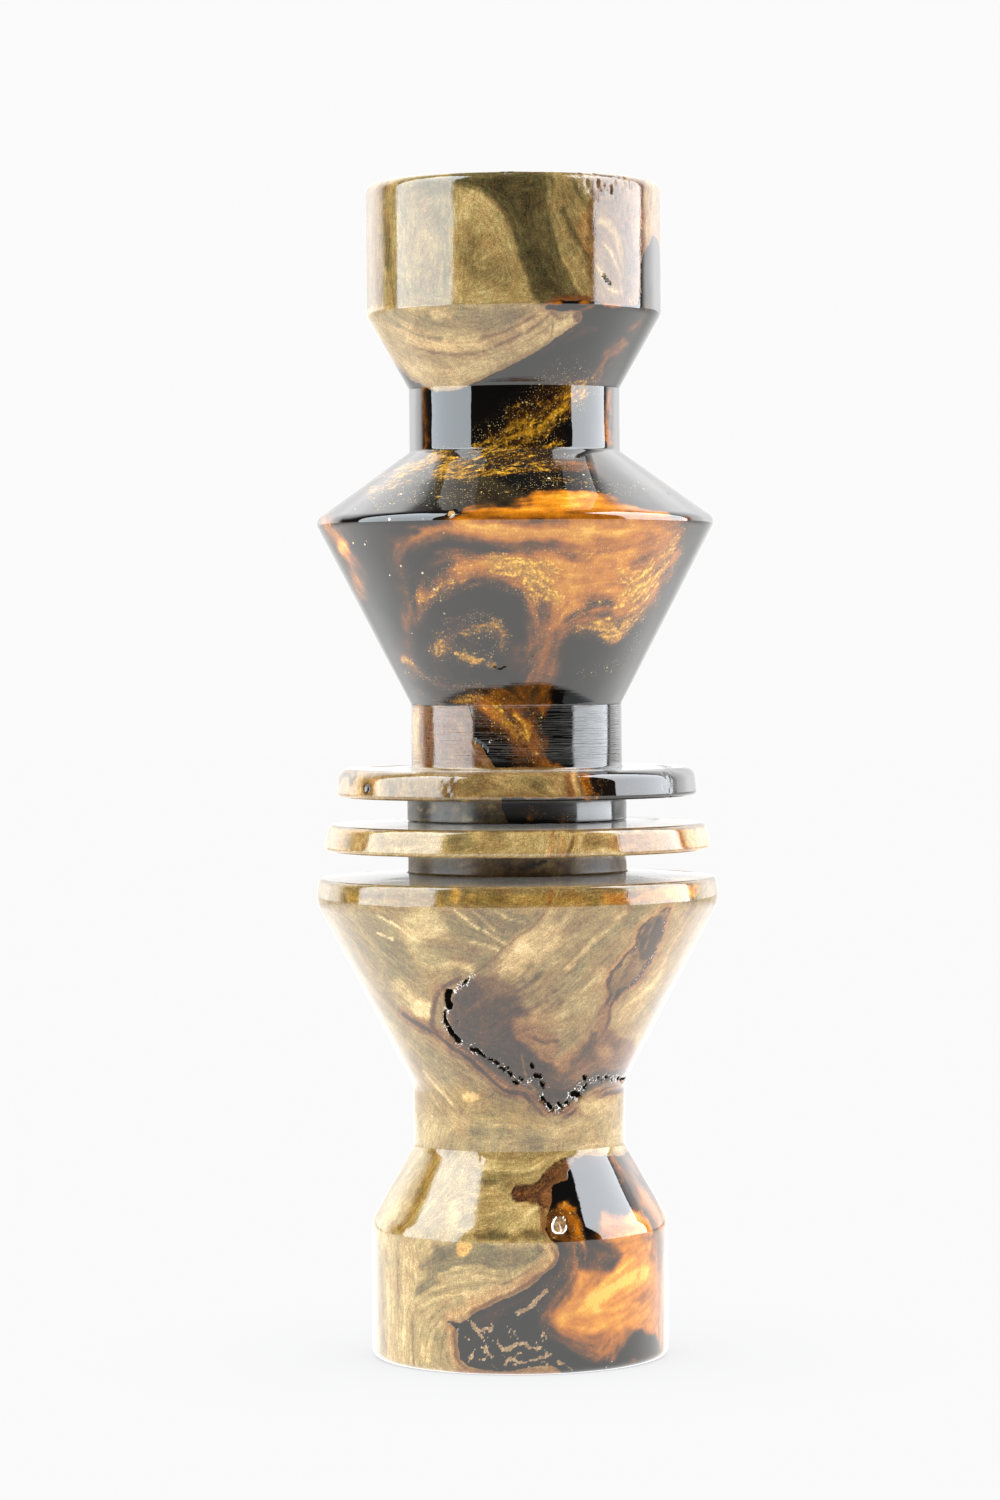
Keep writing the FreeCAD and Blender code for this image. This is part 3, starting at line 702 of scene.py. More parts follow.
    # ------------------------------------------------------------ insert body: burl
    P(G4, [(-50, 132), (1650, 132), (1650, 1100), (-50, 1100)], 6, tone=0.515, warm=0.42, rounded=False)
    P(G4, [(60, 150), (260, 170), (360, 250), (420, 380), (380, 420), (240, 400), (140, 330), (60, 240)], 70, tone=0.465, warm=0.16)
    S(G4, 170, 230, 70, 40, 50, angle=30, tone=0.44, warm=0.14)
    S(G4, 300, 300, 36, 60, 40, angle=-35, tone=0.42, warm=0.16)
    P(G4, [(330, 180), (460, 150), (520, 220), (420, 270), (380, 300)], 50, tone=0.745, warm=0.32)
    S(G4, 470, 210, 70, 40, 46, tone=0.705, warm=0.3)
    P(G4, [(500, 170), (640, 170), (800, 180), (820, 210), (700, 290), (600, 270), (520, 230)], 50, tone=0.46, warm=0.18)
    S(G4, 740, 200, 70, 40, 46, tone=0.42, warm=0.3)
    L(G4, [(620, 260), (700, 300), (640, 360)], 50, 44, tone=0.485, warm=0.24)
    L(G4, [(120, 145), (160, 185), (190, 215)], 8, 8, tone=0.825, warm=0.3)
    L(G4, [(250, 235), (310, 262)], 7, 7, tone=0.865, warm=0.3)
    L(G4, [(300, 190), (350, 235)], 7, 7, tone=0.845, warm=0.3)
    L(G4, [(250, 170), (300, 200)], 6, 7, tone=0.805, warm=0.3)
    L(G4, [(540, 150), (590, 190), (630, 222)], 8, 8, tone=0.805, warm=0.34)
    L(G4, [(600, 150), (650, 190), (690, 225)], 7, 8, tone=0.765, warm=0.34)
    L(G4, [(650, 228), (700, 262), (740, 290)], 8, 8, tone=0.805, warm=0.34)
    L(G4, [(600, 270), (660, 285), (710, 305)], 9, 9, tone=0.765, warm=0.34)
    L(G4, [(690, 150), (740, 180), (800, 200)], 7, 8, tone=0.745, warm=0.36)
    L(G4, [(400, 330), (450, 360), (520, 350), (600, 370)], 26, 24, tone=0.725, warm=0.46)
    S(G4, 450, 330, 60, 30, 40, tone=0.585, warm=0.2)
    L(G4, [(380, 280), (440, 300), (540, 300), (600, 320)], 18, 18, tone=0.525, warm=0.2)
    L(G4, [(330, 430), (390, 500), (440, 540)], 46, 40, tone=0.665, warm=0.4)
    S(G4, 418, 520, 40, 36, 26, angle=30, tone=0.805, warm=0.42)
    L(G4, [(230, 380), (300, 470), (350, 530)], 50, 44, tone=0.565, warm=0.26)
    P(G4, [(800, 240), (900, 200), (940, 260), (860, 360), (760, 400), (700, 370)], 70, tone=0.765, warm=0.48)
    S(G4, 820, 310, 90, 50, 70, angle=-35, tone=0.785, warm=0.5)
    L(G4, [(900, 160), (880, 220), (840, 260)], 40, 40, tone=0.705, warm=0.5)
    L(G4, [(890, 78), (880, 150), (830, 210), (760, 265), (690, 325), (640, 365), (600, 395)], 7, 7, tone=0.42, warm=0.75)
    L(G4, [(1240, 150), (1130, 230), (1040, 330), (950, 440)], 40, 34, tone=0.505, warm=0.24)
    L(G4, [(1130, 150), (1010, 250), (900, 340), (820, 420)], 34, 34, tone=0.565, warm=0.28)
    L(G4, [(1180, 160), (1070, 260), (960, 370)], 16, 16, tone=0.725, warm=0.45)
    L(G4, [(980, 150), (940, 200), (900, 240)], 30, 26, tone=0.625, warm=0.3)
    L(G4, [(1090, 380), (1030, 440), (960, 520), (900, 560)], 34, 30, tone=0.665, warm=0.45)
    S(G4, 960, 440, 70, 40, 50, angle=-40, tone=0.505, warm=0.26)
    S(G4, 1000, 500, 50, 40, 46, tone=0.625, warm=0.34)
    L(G4, [(1400, 200), (1340, 330), (1250, 450), (1170, 540)], 70, 50, tone=0.625, warm=0.5)
    L(G4, [(1450, 150), (1420, 280), (1330, 430), (1240, 560)], 40, 36, tone=0.545, warm=0.3)
    L(G4, [(1330, 330), (1290, 420), (1200, 500)], 14, 14, tone=0.765, warm=0.5)
    S(G4, 880, 250, 60, 30, 40, angle=-45, tone=0.665, warm=0.5)

    P(G4, [(-60, 130), (150, 130), (330, 500), (440, 760), (330, 780), (150, 500)], 60, tone=0.47, warm=0.32, o=0.8)
    P(G4, [(1440, 130), (1650, 130), (1300, 640), (1240, 620)], 60, tone=0.44, warm=0.42, o=0.8)
    # leaf-shaped bark inclusion and its stem
    leaf = [(1342, 138), (1326, 205), (1304, 269), (1274, 333), (1240, 385), (1200, 428), (1154, 454), (1130, 495),
            (1104, 536), (1100, 512), (1122, 468), (1110, 430), (1126, 388), (1154, 354), (1190, 314), (1222, 284),
            (1228, 242), (1250, 206), (1296, 168)]
    L(G4, leaf + leaf[:1], 36, 20, tone=0.525, warm=1.0)
    P(G4, leaf, 8, jit=2.4, rounded=False, tone=0.40, warm=0.62)
    L(G4, [(1180, 330), (1160, 380), (1150, 420)], 12, 12, tone=0.505, warm=0.5)
    L(G4, [(1215, 320), (1190, 370), (1165, 415)], 8, 8, tone=0.28, warm=0.6)
    P(G4, [(1296, 172), (1320, 180), (1312, 230), (1290, 290), (1262, 330), (1236, 330), (1226, 290), (1240, 240), (1262, 200)],
      16, tone=0.13, warm=0.66)
    L(G4, [(1290, 190), (1268, 240), (1254, 290)], 8, 8, tone=0.34, warm=0.6)
    L(G4, leaf + leaf[:1], 9, 6, jit=2.4, tone=0.12, warm=0.75)
    L(G4, [(1105, 525), (1092, 575), (1050, 630), (990, 690), (935, 745)], 40, 26, tone=0.46, warm=1.0)
    L(G4, [(1118, 530), (1110, 580), (1075, 640)], 12, 8, tone=0.22, warm=0.9)
    # painted glints along the edge of the leaf
    L(G4, leaf[:7], 7, 6, jit=1.6, spark=0.5)
    L(G4, leaf[12:], 7, 6, jit=1.6, spark=0.35)
    L(G4, [(1140, 420), (1165, 404), (1190, 420)], 5, 5, jit=1.0, pit=0.06)

    # bark patch under it
    P(G4, [(1050, 640), (1120, 600), (1200, 640), (1230, 740), (1110, 770), (1000, 800), (930, 790), (980, 720)], 40, tone=0.30, warm=0.85)
    L(G4, [(1060, 620), (1040, 660), (990, 720)], 28, 22, tone=0.22, warm=0.7)
    S(G4, 1100, 680, 36, 26, 26, tone=0.46, warm=0.9)
    S(G4, 1170, 610, 30, 16, 22, tone=0.565, warm=0.6)
    P(G4, [(600, 405), (690, 420), (770, 470), (805, 530), (835, 600), (870, 640), (905, 700), (935, 760), (965, 800),
           (905, 870), (860, 800), (780, 790), (700, 745), (620, 685), (555, 650), (528, 600), (518, 520), (545, 455)],
      40, tone=0.11, warm=0.78)
    S(G4, 650, 500, 90, 60, 60, angle=40, tone=0.14, warm=0.76)
    for dx, dy, ln, to in ((0, 0, 1.0, 0.30), (30, 28, 1.1, 0.12), (62, 50, 0.9, 0.34), (86, 92, 1.0, 0.12), (120, 120, 0.8, 0.36), (-24, 40, 0.8, 0.11)):
        L(G4, [(600 + dx, 520 + dy), (650 + dx + 20 * ln, 470 + dy), (700 + dx + 60 * ln, 436 + dy - 20 * ln), (760 + dx + 70 * ln, 410 + dy - 50 * ln)],
          12, 22, tone=to, warm=0.7, o=0.6)
    S(G4, 700, 440, 80, 30, 50, angle=25, tone=0.33, warm=0.7)
    S(G4, 690, 590, 80, 50, 60, angle=30, tone=0.13, warm=0.72)
    P(G4, [(760, 560), (820, 550), (870, 590), (920, 640), (910, 700), (860, 690), (800, 650), (760, 610)], 34, tone=0.46, warm=0.9)
    S(G4, 880, 560, 60, 26, 36, angle=10, tone=0.585, warm=0.72)
    S(G4, 800, 620, 34, 22, 20, tone=0.44, warm=0.95)
    L(G4, [(840, 630), (880, 650), (920, 640)], 12, 10, tone=0.26, warm=0.8)
    L(G4, [(870, 700), (930, 720), (960, 690)], 20, 18, tone=0.46, warm=0.95)
    L(G4, [(560, 640), (640, 690), (720, 740), (800, 790), (860, 830), (900, 870)], 84, 40, tone=0.05, warm=0.6)
    L(G4, [(900, 872), (960, 850), (1010, 815), (1080, 782), (1180, 772)], 50, 30, tone=0.08, warm=0.65)
    S(G4, 930, 790, 50, 30, 30, tone=0.22, warm=0.8)
    L(G4, [(790, 690), (800, 740), (815, 790)], 8, 8, tone=0.42, warm=0.6)
    L(G4, [(820, 800), (850, 830)], 10, 8, tone=0.4, warm=0.6)
    # brown halo lines round it
    L(G4, [(345, 535), (400, 572), (460, 598), (520, 648), (600, 706), (680, 775), (725, 815), (800, 832), (850, 888),
           (900, 930), (960, 912), (1020, 872), (1100, 832), (1170, 808)], 44, 24, tone=0.42, warm=0.95)
    L(G4, [(350, 540), (400, 576), (460, 604), (520, 655), (600, 712), (680, 782), (725, 822), (800, 838), (850, 896),
           (900, 936), (960, 920), (1020, 880), (1100, 838), (1170, 815)], 14, 8, tone=0.06, warm=0.85)
    L(G4, [(470, 596), (530, 640), (612, 698), (692, 768), (740, 806), (806, 822), (862, 878),
           (904, 916), (950, 900), (1012, 860), (1090, 820), (1160, 800)], 7, 6, tone=0.22, warm=0.95)
    L(G4, [(330, 556), (392, 592), (452, 622), (512, 674), (592, 732), (672, 800), (720, 840), (796, 860), (846, 916),
           (900, 960), (968, 944), (1030, 902)], 7, 8, tone=0.34, warm=0.7, o=0.8)
    L(G4, [(462, 592), (456, 540), (468, 480), (500, 440), (560, 405)], 18, 12, tone=0.24, warm=0.9)
    L(G4, [(450, 440), (480, 430)], 14, 12, tone=0.465, warm=0.8)
    L(G4, [(640, 860), (660, 850), (685, 835)], 5, 5, tone=0.16, warm=0.4)
    # the crack: open voids in chains, cut in and painted near-black as shade inside, with painted glints along their
    # rough edges
    L(G4, [(604, 392), (585, 415), (565, 432), (545, 452), (520, 468), (508, 520), (508, 570), (528, 610), (556, 648)],
      26, 14, jit=1.6, spark=0.75)
    L(G4, [(600, 668), (650, 690), (700, 720), (740, 760), (790, 792), (840, 782), (875, 792)], 38, 26, jit=2.4, spark=0.50)
    L(G4, [(858, 850), (900, 892), (940, 882), (990, 832), (1030, 802), (1100, 776), (1150, 780), (1200, 762)],
      28, 20, jit=2.2, spark=0.54)
    # voids along the crack: cut in, and painted near-black as shade
    L(G4, [(520, 460), (512, 484), (516, 512)], 24, 9, jit=1.6, pit=0.75)
    L(G4, [(504, 532), (506, 560), (514, 580)], 14, 7, jit=1.8, pit=0.5)
    L(G4, [(522, 596), (536, 622), (552, 640)], 15, 8, jit=1.8, pit=0.6)
    L(G4, [(572, 428), (590, 408)], 9, 6, jit=1.0, pit=0.35)
    for (x0, y0), (x1, y1), w in (
        ((602, 672), (624, 678), 12), ((628, 682), (652, 698), 14), ((660, 704), (684, 712), 10), ((690, 716), (706, 728), 11),
        ((708, 742), (722, 752), 12), ((728, 738), (740, 744), 8), ((738, 762), (752, 772), 10), ((758, 790), (774, 800), 12),
        ((782, 778), (796, 786), 8), ((824, 732), (832, 742), 8), ((842, 772), (862, 776), 14), ((862, 790), (872, 806), 10),
        ((866, 852), (878, 866), 10), ((888, 874), (902, 886), 10), ((926, 868), (938, 878), 10), ((950, 872), (964, 864), 9),
        ((982, 832), (1000, 838), 16), ((1022, 812), (1036, 802), 10), ((1078, 778), (1090, 786), 10), ((1104, 776), (1128, 780), 9),
        ((1150, 778), (1160, 786), 8), ((1172, 792), (1184, 780), 8), ((1022, 772), (1030, 780), 7), ((556, 560), (548, 566), 5)):
        L(G4, [(x0, y0), (x1, y1)], w * 0.9, 6, jit=1.7, pit=0.5)

    # lower cone below the patch
    P(G4, [(560, 780), (700, 850), (840, 890), (880, 950), (760, 960), (620, 930), (540, 870)], 50, tone=0.505, warm=0.30, sat=0.4)
    S(G4, 600, 850, 30, 16, 20, tone=0.685, warm=0.55)
    S(G4, 700, 900, 60, 30, 36, tone=0.46, warm=0.2, sat=0.5)
    S(G4, 1060, 880, 70, 36, 50, tone=0.645, warm=0.45)
    L(G4, [(420, 750), (480, 820), (530, 870)], 10, 10, tone=0.745, warm=0.4)
    L(G4, [(300, 560), (420, 680), (520, 770)], 60, 50, tone=0.505, warm=0.24)
    S(G4, 450, 700, 60, 34, 46, angle=35, tone=0.48, warm=0.2)

    # ------------------------------------------------------------ lowest neck and flare
    P(G5, [(-50, -20), (1650, -20), (1650, 620), (-50, 620)], 30, tone=0.57, warm=0.30, rounded=False)
    S(G5, 300, 60, 70, 60, 60, tone=0.66, warm=0.3)
    S(G5, 480, 40, 60, 40, 46, tone=0.60, warm=0.5)
    S(G5, 560, 70, 60, 40, 56, tone=0.46, warm=0.2)
    S(G5, 700, 50, 60, 40, 46, tone=0.50, warm=0.2)
    S(G5, 830, 120, 50, 30, 46, tone=0.48, warm=0.28)
    S(G5, 960, 60, 90, 40, 60, tone=0.62, warm=0.36)
    S(G5, 1120, 110, 60, 40, 50, tone=0.56, warm=0.5)
    L(G5, [(610, 20), (760, 34), (900, 30), (1060, 50)], 12, 12, tone=0.66, warm=0.45)
    L(G5, [(350, 165), (300, 320), (220, 480), (180, 540)], 36, 26, tone=0.42, warm=0.3, sat=0.8)
    L(G5, [(160, 420), (90, 500), (60, 600)], 60, 50, tone=0.66, warm=0.3)
    S(G5, 420, 350, 90, 160, 90, tone=0.60, warm=0.35)
    S(G5, 450, 470, 30, 70, 40, tone=0.70, warm=0.4)
    S(G5, 545, 215, 40, 40, 26, tone=0.56, warm=0.45, rough=0.35)
    S(G5, 700, 235, 110, 40, 60, tone=0.62, warm=0.22)
    L(G5, [(600, 240), (700, 250), (800, 250), (880, 215)], 20, 20, tone=0.72, warm=0.3)
    L(G5, [(600, 360), (680, 350), (740, 300)], 20, 20, tone=0.58, warm=0.4)
    S(G5, 640, 360, 50, 20, 30, tone=0.64, warm=0.42)
    S(G5, 620, 300, 40, 20, 26, tone=0.42, warm=0.2)
    L(G5, [(840, 450), (780, 500), (720, 560)], 26, 24, tone=0.68, warm=0.26)
    S(G5, 690, 500, 60, 40, 46, tone=0.54, warm=0.2)
    S(G5, 640, 580, 90, 30, 46, tone=0.32, warm=0.14)
    S(G5, 840, 570, 60, 30, 40, tone=0.34, warm=0.3)
    L(G5, [(880, 440), (890, 500), (895, 560)], 26, 20, tone=0.34, warm=0.7)
    # knot
    knot = [(1040, 185), (1000, 192), (940, 222), (892, 268), (860, 310), (800, 324), (745, 330), (733, 360), (746, 394),
            (820, 406), (880, 424), (915, 444), (935, 400), (928, 340), (965, 308), (1015, 300)]
    P(G5, knot, 10, jit=1.5, rounded=False, tone=0.26, warm=0.82)
    L(G5, knot[1:12], 8, 8, tone=0.10, warm=0.7)
    L(G5, [(770, 366), (830, 352), (880, 330), (930, 280), (980, 230)], 12, 10, tone=0.42, warm=0.85)
    L(G5, [(800, 390), (850, 370), (900, 380)], 7, 7, tone=0.12, warm=0.8)
    L(G5, [(860, 330), (910, 300), (950, 250)], 7, 7, tone=0.12, warm=0.8)
    S(G5, 900, 390, 24, 30, 20, tone=0.34, warm=0.95)
    L(G5, [(770, 345), (800, 380)], 6, 6, tone=0.14, warm=0.8)
    # flare: resin
    P(G5, [(915, 470), (1010, 440), (1060, 500), (1080, 600), (930, 615), (905, 560)], 20, amber=0.30, gold=0.2)
    L(G5, [(990, 440), (1035, 480), (1050, 560), (1060, 610)], 36, 24, amber=0.62, gold=0.4)
    L(G5, [(1050, 470), (1085, 520), (1140, 575), (1180, 605)], 34, 22, amber=0.02, gold=0.0)
    L(G5, [(1060, 200), (1120, 190), (1200, 180)], 60, 50, amber=0.24, gold=0.1)
    P(G5, [(1180, 470), (1300, 470), (1330, 440), (1400, 500), (1420, 570), (1180, 600), (1150, 560)], 36, amber=0.72, gold=0.2)
    L(G5, [(1270, 300), (1320, 380), (1340, 450)], 30, 30, amber=0.12)
    L(G5, [(1215, 190), (1250, 260), (1270, 300)], 16, 14, amber=0.42)
    L(G5, [(1300, 230), (1360, 320), (1400, 400)], 90, 50, amber=0.42, gold=0.1)
    L(G5, [(1400, 380), (1450, 470), (1490, 560)], 90, 50, amber=0.60, gold=0.1)
    L(G5, [(1330, 465), (1410, 520), (1395, 560), (1300, 580), (1200, 585)], 30, 16, amber=0.90, gold=0.3)
    # bubble opened by turning
    # painted highlight: the near-white ring is the light caught on the bubble's rim; inside it, the bubble's filling
    S(G5, 970, 522, 39, 48, 5, jit=0.3, ring=1.0)
    S(G5, 972, 520, 32, 41, 5, jit=0.3, ring=0.0, bubble=1.0)
    S(G5, 972, 522, 33, 42, 10, jit=0.2, pit=0.32)

    # ------------------------------------------------------------ base: burl
    P(G5, [(-50, 600), (1650, 600), (1650, 1500), (-50, 1500)], 16, tone=0.60, warm=0.34, rounded=False)
    P(G5, [(-50, 600), (190, 620), (220, 900), (210, 1300), (-50, 1300)], 50, tone=0.62, warm=0.36)
    P(G5, [(-50, 600), (90, 620), (100, 900), (95, 1300), (-50, 1300)], 50, tone=0.50, warm=0.30)
    L(G5, [(164, 700), (160, 800), (168, 890)], 8, 10, tone=0.46, warm=0.5)
    L(G5, [(190, 680), (196, 900), (188, 1150)], 8, 10, tone=0.74, warm=0.4)
    L(G5, [(110, 800), (120, 1000), (115, 1180)], 10, 12, tone=0.70, warm=0.45)
    L(G5, [(238, 1000), (236, 1120), (242, 1220)], 8, 8, tone=0.48, warm=0.5)
    P(G5, [(270, 730), (400, 620), (560, 615), (700, 640), (900, 630), (900, 660), (800, 720), (690, 750), (560, 728), (450, 762), (330, 770)],
      44, tone=0.40, warm=0.14)
    S(G5, 400, 670, 90, 30, 40, angle=-25, tone=0.34, warm=0.1)
    S(G5, 780, 680, 90, 26, 40, angle=-10, tone=0.44, warm=0.2)
    P(G5, [(470, 612), (530, 612), (530, 640), (490, 680), (450, 660)], 14, tone=0.62, warm=0.62, sat=1.0)
    S(G5, 310, 830, 60, 40, 40, angle=-30, tone=0.44, warm=0.14)
    L(G5, [(370, 770), (460, 740), (560, 738), (660, 760)], 16, 22, tone=0.72, warm=0.30)
    L(G5, [(240, 900), (330, 842), (450, 806), (580, 796)], 18, 24, tone=0.71, warm=0.30)
    L(G5, [(380, 800), (520, 770), (640, 790), (680, 810)], 12, 20, tone=0.70, warm=0.30)
    L(G5, [(300, 880), (420, 840), (560, 830)], 16, 16, tone=0.56, warm=0.18)
    L(G5, [(270, 930), (390, 880), (540, 860), (640, 830)], 14, 14, tone=0.74, warm=0.4)
    S(G5, 560, 880, 80, 36, 50, angle=-20, tone=0.70, warm=0.56)
    L(G5, [(420, 920), (330, 980), (280, 1060), (260, 1180)], 16, 16, tone=0.52, warm=0.2)
    L(G5, [(460, 940), (380, 1000), (330, 1080), (320, 1200)], 20, 20, tone=0.72, warm=0.4)
    L(G5, [(400, 960), (340, 1030), (300, 1120)], 12, 12, tone=0.48, warm=0.2)
    S(G5, 360, 1130, 40, 90, 46, tone=0.54, warm=0.24)
    # halo of stained wood along the resin
    L(G5, [(915, 640), (935, 690), (870, 745), (780, 800), (680, 852), (580, 905), (500, 950), (430, 978)], 60, 46, tone=0.64, warm=0.85)
    L(G5, [(925, 640), (952, 690), (900, 752), (810, 812), (700, 872), (600, 922), (520, 966)], 18, 12, tone=0.36, warm=0.85)
    L(G5, [(880, 700), (780, 770), (680, 820)], 12, 14, tone=0.50, warm=0.6)
    L(G5, [(420, 1030), (436, 1100), (445, 1160), (480, 1225)], 44, 34, tone=0.58, warm=0.9)
    L(G5, [(446, 1050), (448, 1120), (462, 1190), (510, 1240)], 14, 10, tone=0.28, warm=0.8)
    P(G5, [(480, 1238), (700, 1250), (960, 1230), (990, 1290), (480, 1290)], 14, tone=0.44, warm=0.92)
    S(G5, 458, 1028, 9, 8, 6, jit=0.4, pit=0.18)
    S(G5, 458, 1028, 12, 12, 6, tone=0.2, warm=0.8)

    # ------------------------------------------------------------ base: resin
    L(G5, [(1012, 610), (1012, 720), (985, 820), (930, 910), (870, 985)], 56, 44, amber=0.32, gold=0.12)
    L(G5, [(1035, 610), (1040, 720), (1020, 820), (960, 920)], 26, 22, amber=0.58, gold=0.3)
    L(G5, [(1070, 600), (1078, 700), (1070, 780), (1030, 860)], 14, 14, amber=0.66, gold=0.4)
    L(G5, [(1052, 620), (1058, 740)], 8, 8, amber=0.3)
    P(G5, [(1190, 608), (1380, 575), (1460, 610), (1500, 800), (1490, 1040), (1420, 1060), (1310, 1060), (1260, 1120), (1190, 1180),
           (1080, 1150), (980, 1070), (925, 1010), (900, 960), (960, 890), (1020, 830), (1075, 750), (1180, 735), (1250, 680)],
      46, amber=0.72, gold=0.10)
    P(G5, [(1240, 640), (1390, 630), (1440, 760), (1430, 900), (1300, 960), (1150, 1010), (1010, 1010), (960, 960), (1050, 880), (1180, 800)],
      60, amber=0.80, gold=0.08)
    L(G5, [(985, 985), (1070, 930), (1170, 868), (1270, 812), (1380, 770)], 60, 44, amber=0.93, gold=0.20)
    L(G5, [(1000, 1005), (1080, 1040), (1160, 1040), (1260, 1000), (1390, 960)], 34, 30, amber=0.92, gold=0.15)
    L(G5, [(1180, 930), (1280, 880), (1400, 850)], 26, 24, amber=0.74, gold=0.05)
    L(G5, [(1240, 760), (1320, 720), (1400, 680)], 30, 30, amber=0.88, gold=0.1)
    L(G5, [(1150, 960), (1250, 930), (1390, 900)], 16, 16, amber=0.98, gold=0.30)
    L(G5, [(1100, 900), (1200, 840)], 18, 18, amber=0.99, gold=0.30)
    S(G5, 1190, 1100, 90, 50, 60, amber=0.66, gold=0.1)
    S(G5, 1020, 930, 40, 50, 40, amber=0.84, gold=0.2)
    L(G5, [(1470, 600), (1500, 850), (1490, 1150)], 80, 50, amber=0.44)
    L(G5, [(1050, 790), (1000, 860), (930, 950)], 24, 24, amber=0.46, gold=0.1)
    P(G5, [(1085, 612), (1180, 606), (1215, 640), (1255, 660), (1235, 700), (1190, 730), (1110, 745), (1085, 700)], 54, amber=0.24, gold=0.1)
    L(G5, [(860, 995), (930, 1060), (1010, 1120), (1090, 1170)], 50, 44, amber=0.34, gold=0.1)
    P(G5, [(500, 1010), (600, 950), (720, 900), (850, 830), (930, 760), (985, 660), (995, 700), (975, 800), (900, 890), (850, 960), (880, 1040),
           (1000, 1130), (1110, 1190), (1220, 1200), (1290, 1130), (1300, 1080), (1360, 1045), (1430, 1070), (1450, 1120), (1400, 1170),
           (1300, 1220), (1150, 1270), (1000, 1300), (900, 1240), (700, 1255), (520, 1230), (470, 1150), (470, 1060)],
      22, amber=0.03, gold=0.05)
    S(G5, 1370, 1105, 70, 40, 46, angle=12, amber=0.07, gold=0.0)
    L(G5, [(1480, 1150), (1380, 1200), (1250, 1240)], 20, 16, amber=0.3)
    L(G5, [(1240, 1160), (1250, 1120)], 20, 20, amber=0.5)
    for pts, w in (
        ([(528, 1008), (548, 1044), (580, 1052), (604, 1040), (630, 1046)], 15),
        ([(560, 1066), (584, 1086), (598, 1120), (596, 1150), (640, 1190)], 9),
        ([(655, 1098), (672, 1130), (700, 1140), (740, 1122), (790, 1110), (822, 1132), (840, 1142)], 13),
        ([(845, 1140), (880, 1138), (900, 1150), (930, 1168)], 11),
        ([(694, 1216), (712, 1190), (750, 1196), (790, 1202), (840, 1190), (900, 1172)], 13),
        ([(760, 958), (810, 935), (860, 890), (905, 850)], 20),
        ([(700, 930), (712, 925)], 10), ([(630, 1020), (636, 1036)], 8),
        ([(960, 1205), (1000, 1222), (1030, 1246)], 10)):
        L(G5, pts, w, 8, jit=1.5, squig=1.0)
    L(G5, [(600, 1140), (620, 1170), (640, 1196)], 5, 5, jit=1.4, squig=0.6)
    walk = random.Random(77)
    for _ in range(30):
        x, y = walk.uniform(480, 900), walk.uniform(1000, 1225)
        way, pts = walk.uniform(-1.2, 1.2), []
        for _k in range(walk.choice((3, 4, 5))):
            pts.append((x, y))
            way += walk.uniform(-0.9, 0.9)
            x, y = x + 15 * math.cos(way), y + 15 * math.sin(way)
        L(G5, pts, walk.uniform(3.5, 7.5), 5, jit=1.4, squig=walk.uniform(0.55, 0.85))
    L(G5, [(935, 785), (845, 855), (740, 912), (645, 962), (560, 1006)], 44, 40, amber=0.27, gold=0.1)
    L(G5, [(985, 700), (965, 790), (905, 870), (850, 930)], 34, 34, amber=0.30, gold=0.2)
    # painted glints along a short rough line at the base
    L(G5, [(1190, 1240), (1220, 1210), (1238, 1185)], 4, 4, jit=0.8, spark=0.5)


# ======================================================================================
# mesh building
# ======================================================================================


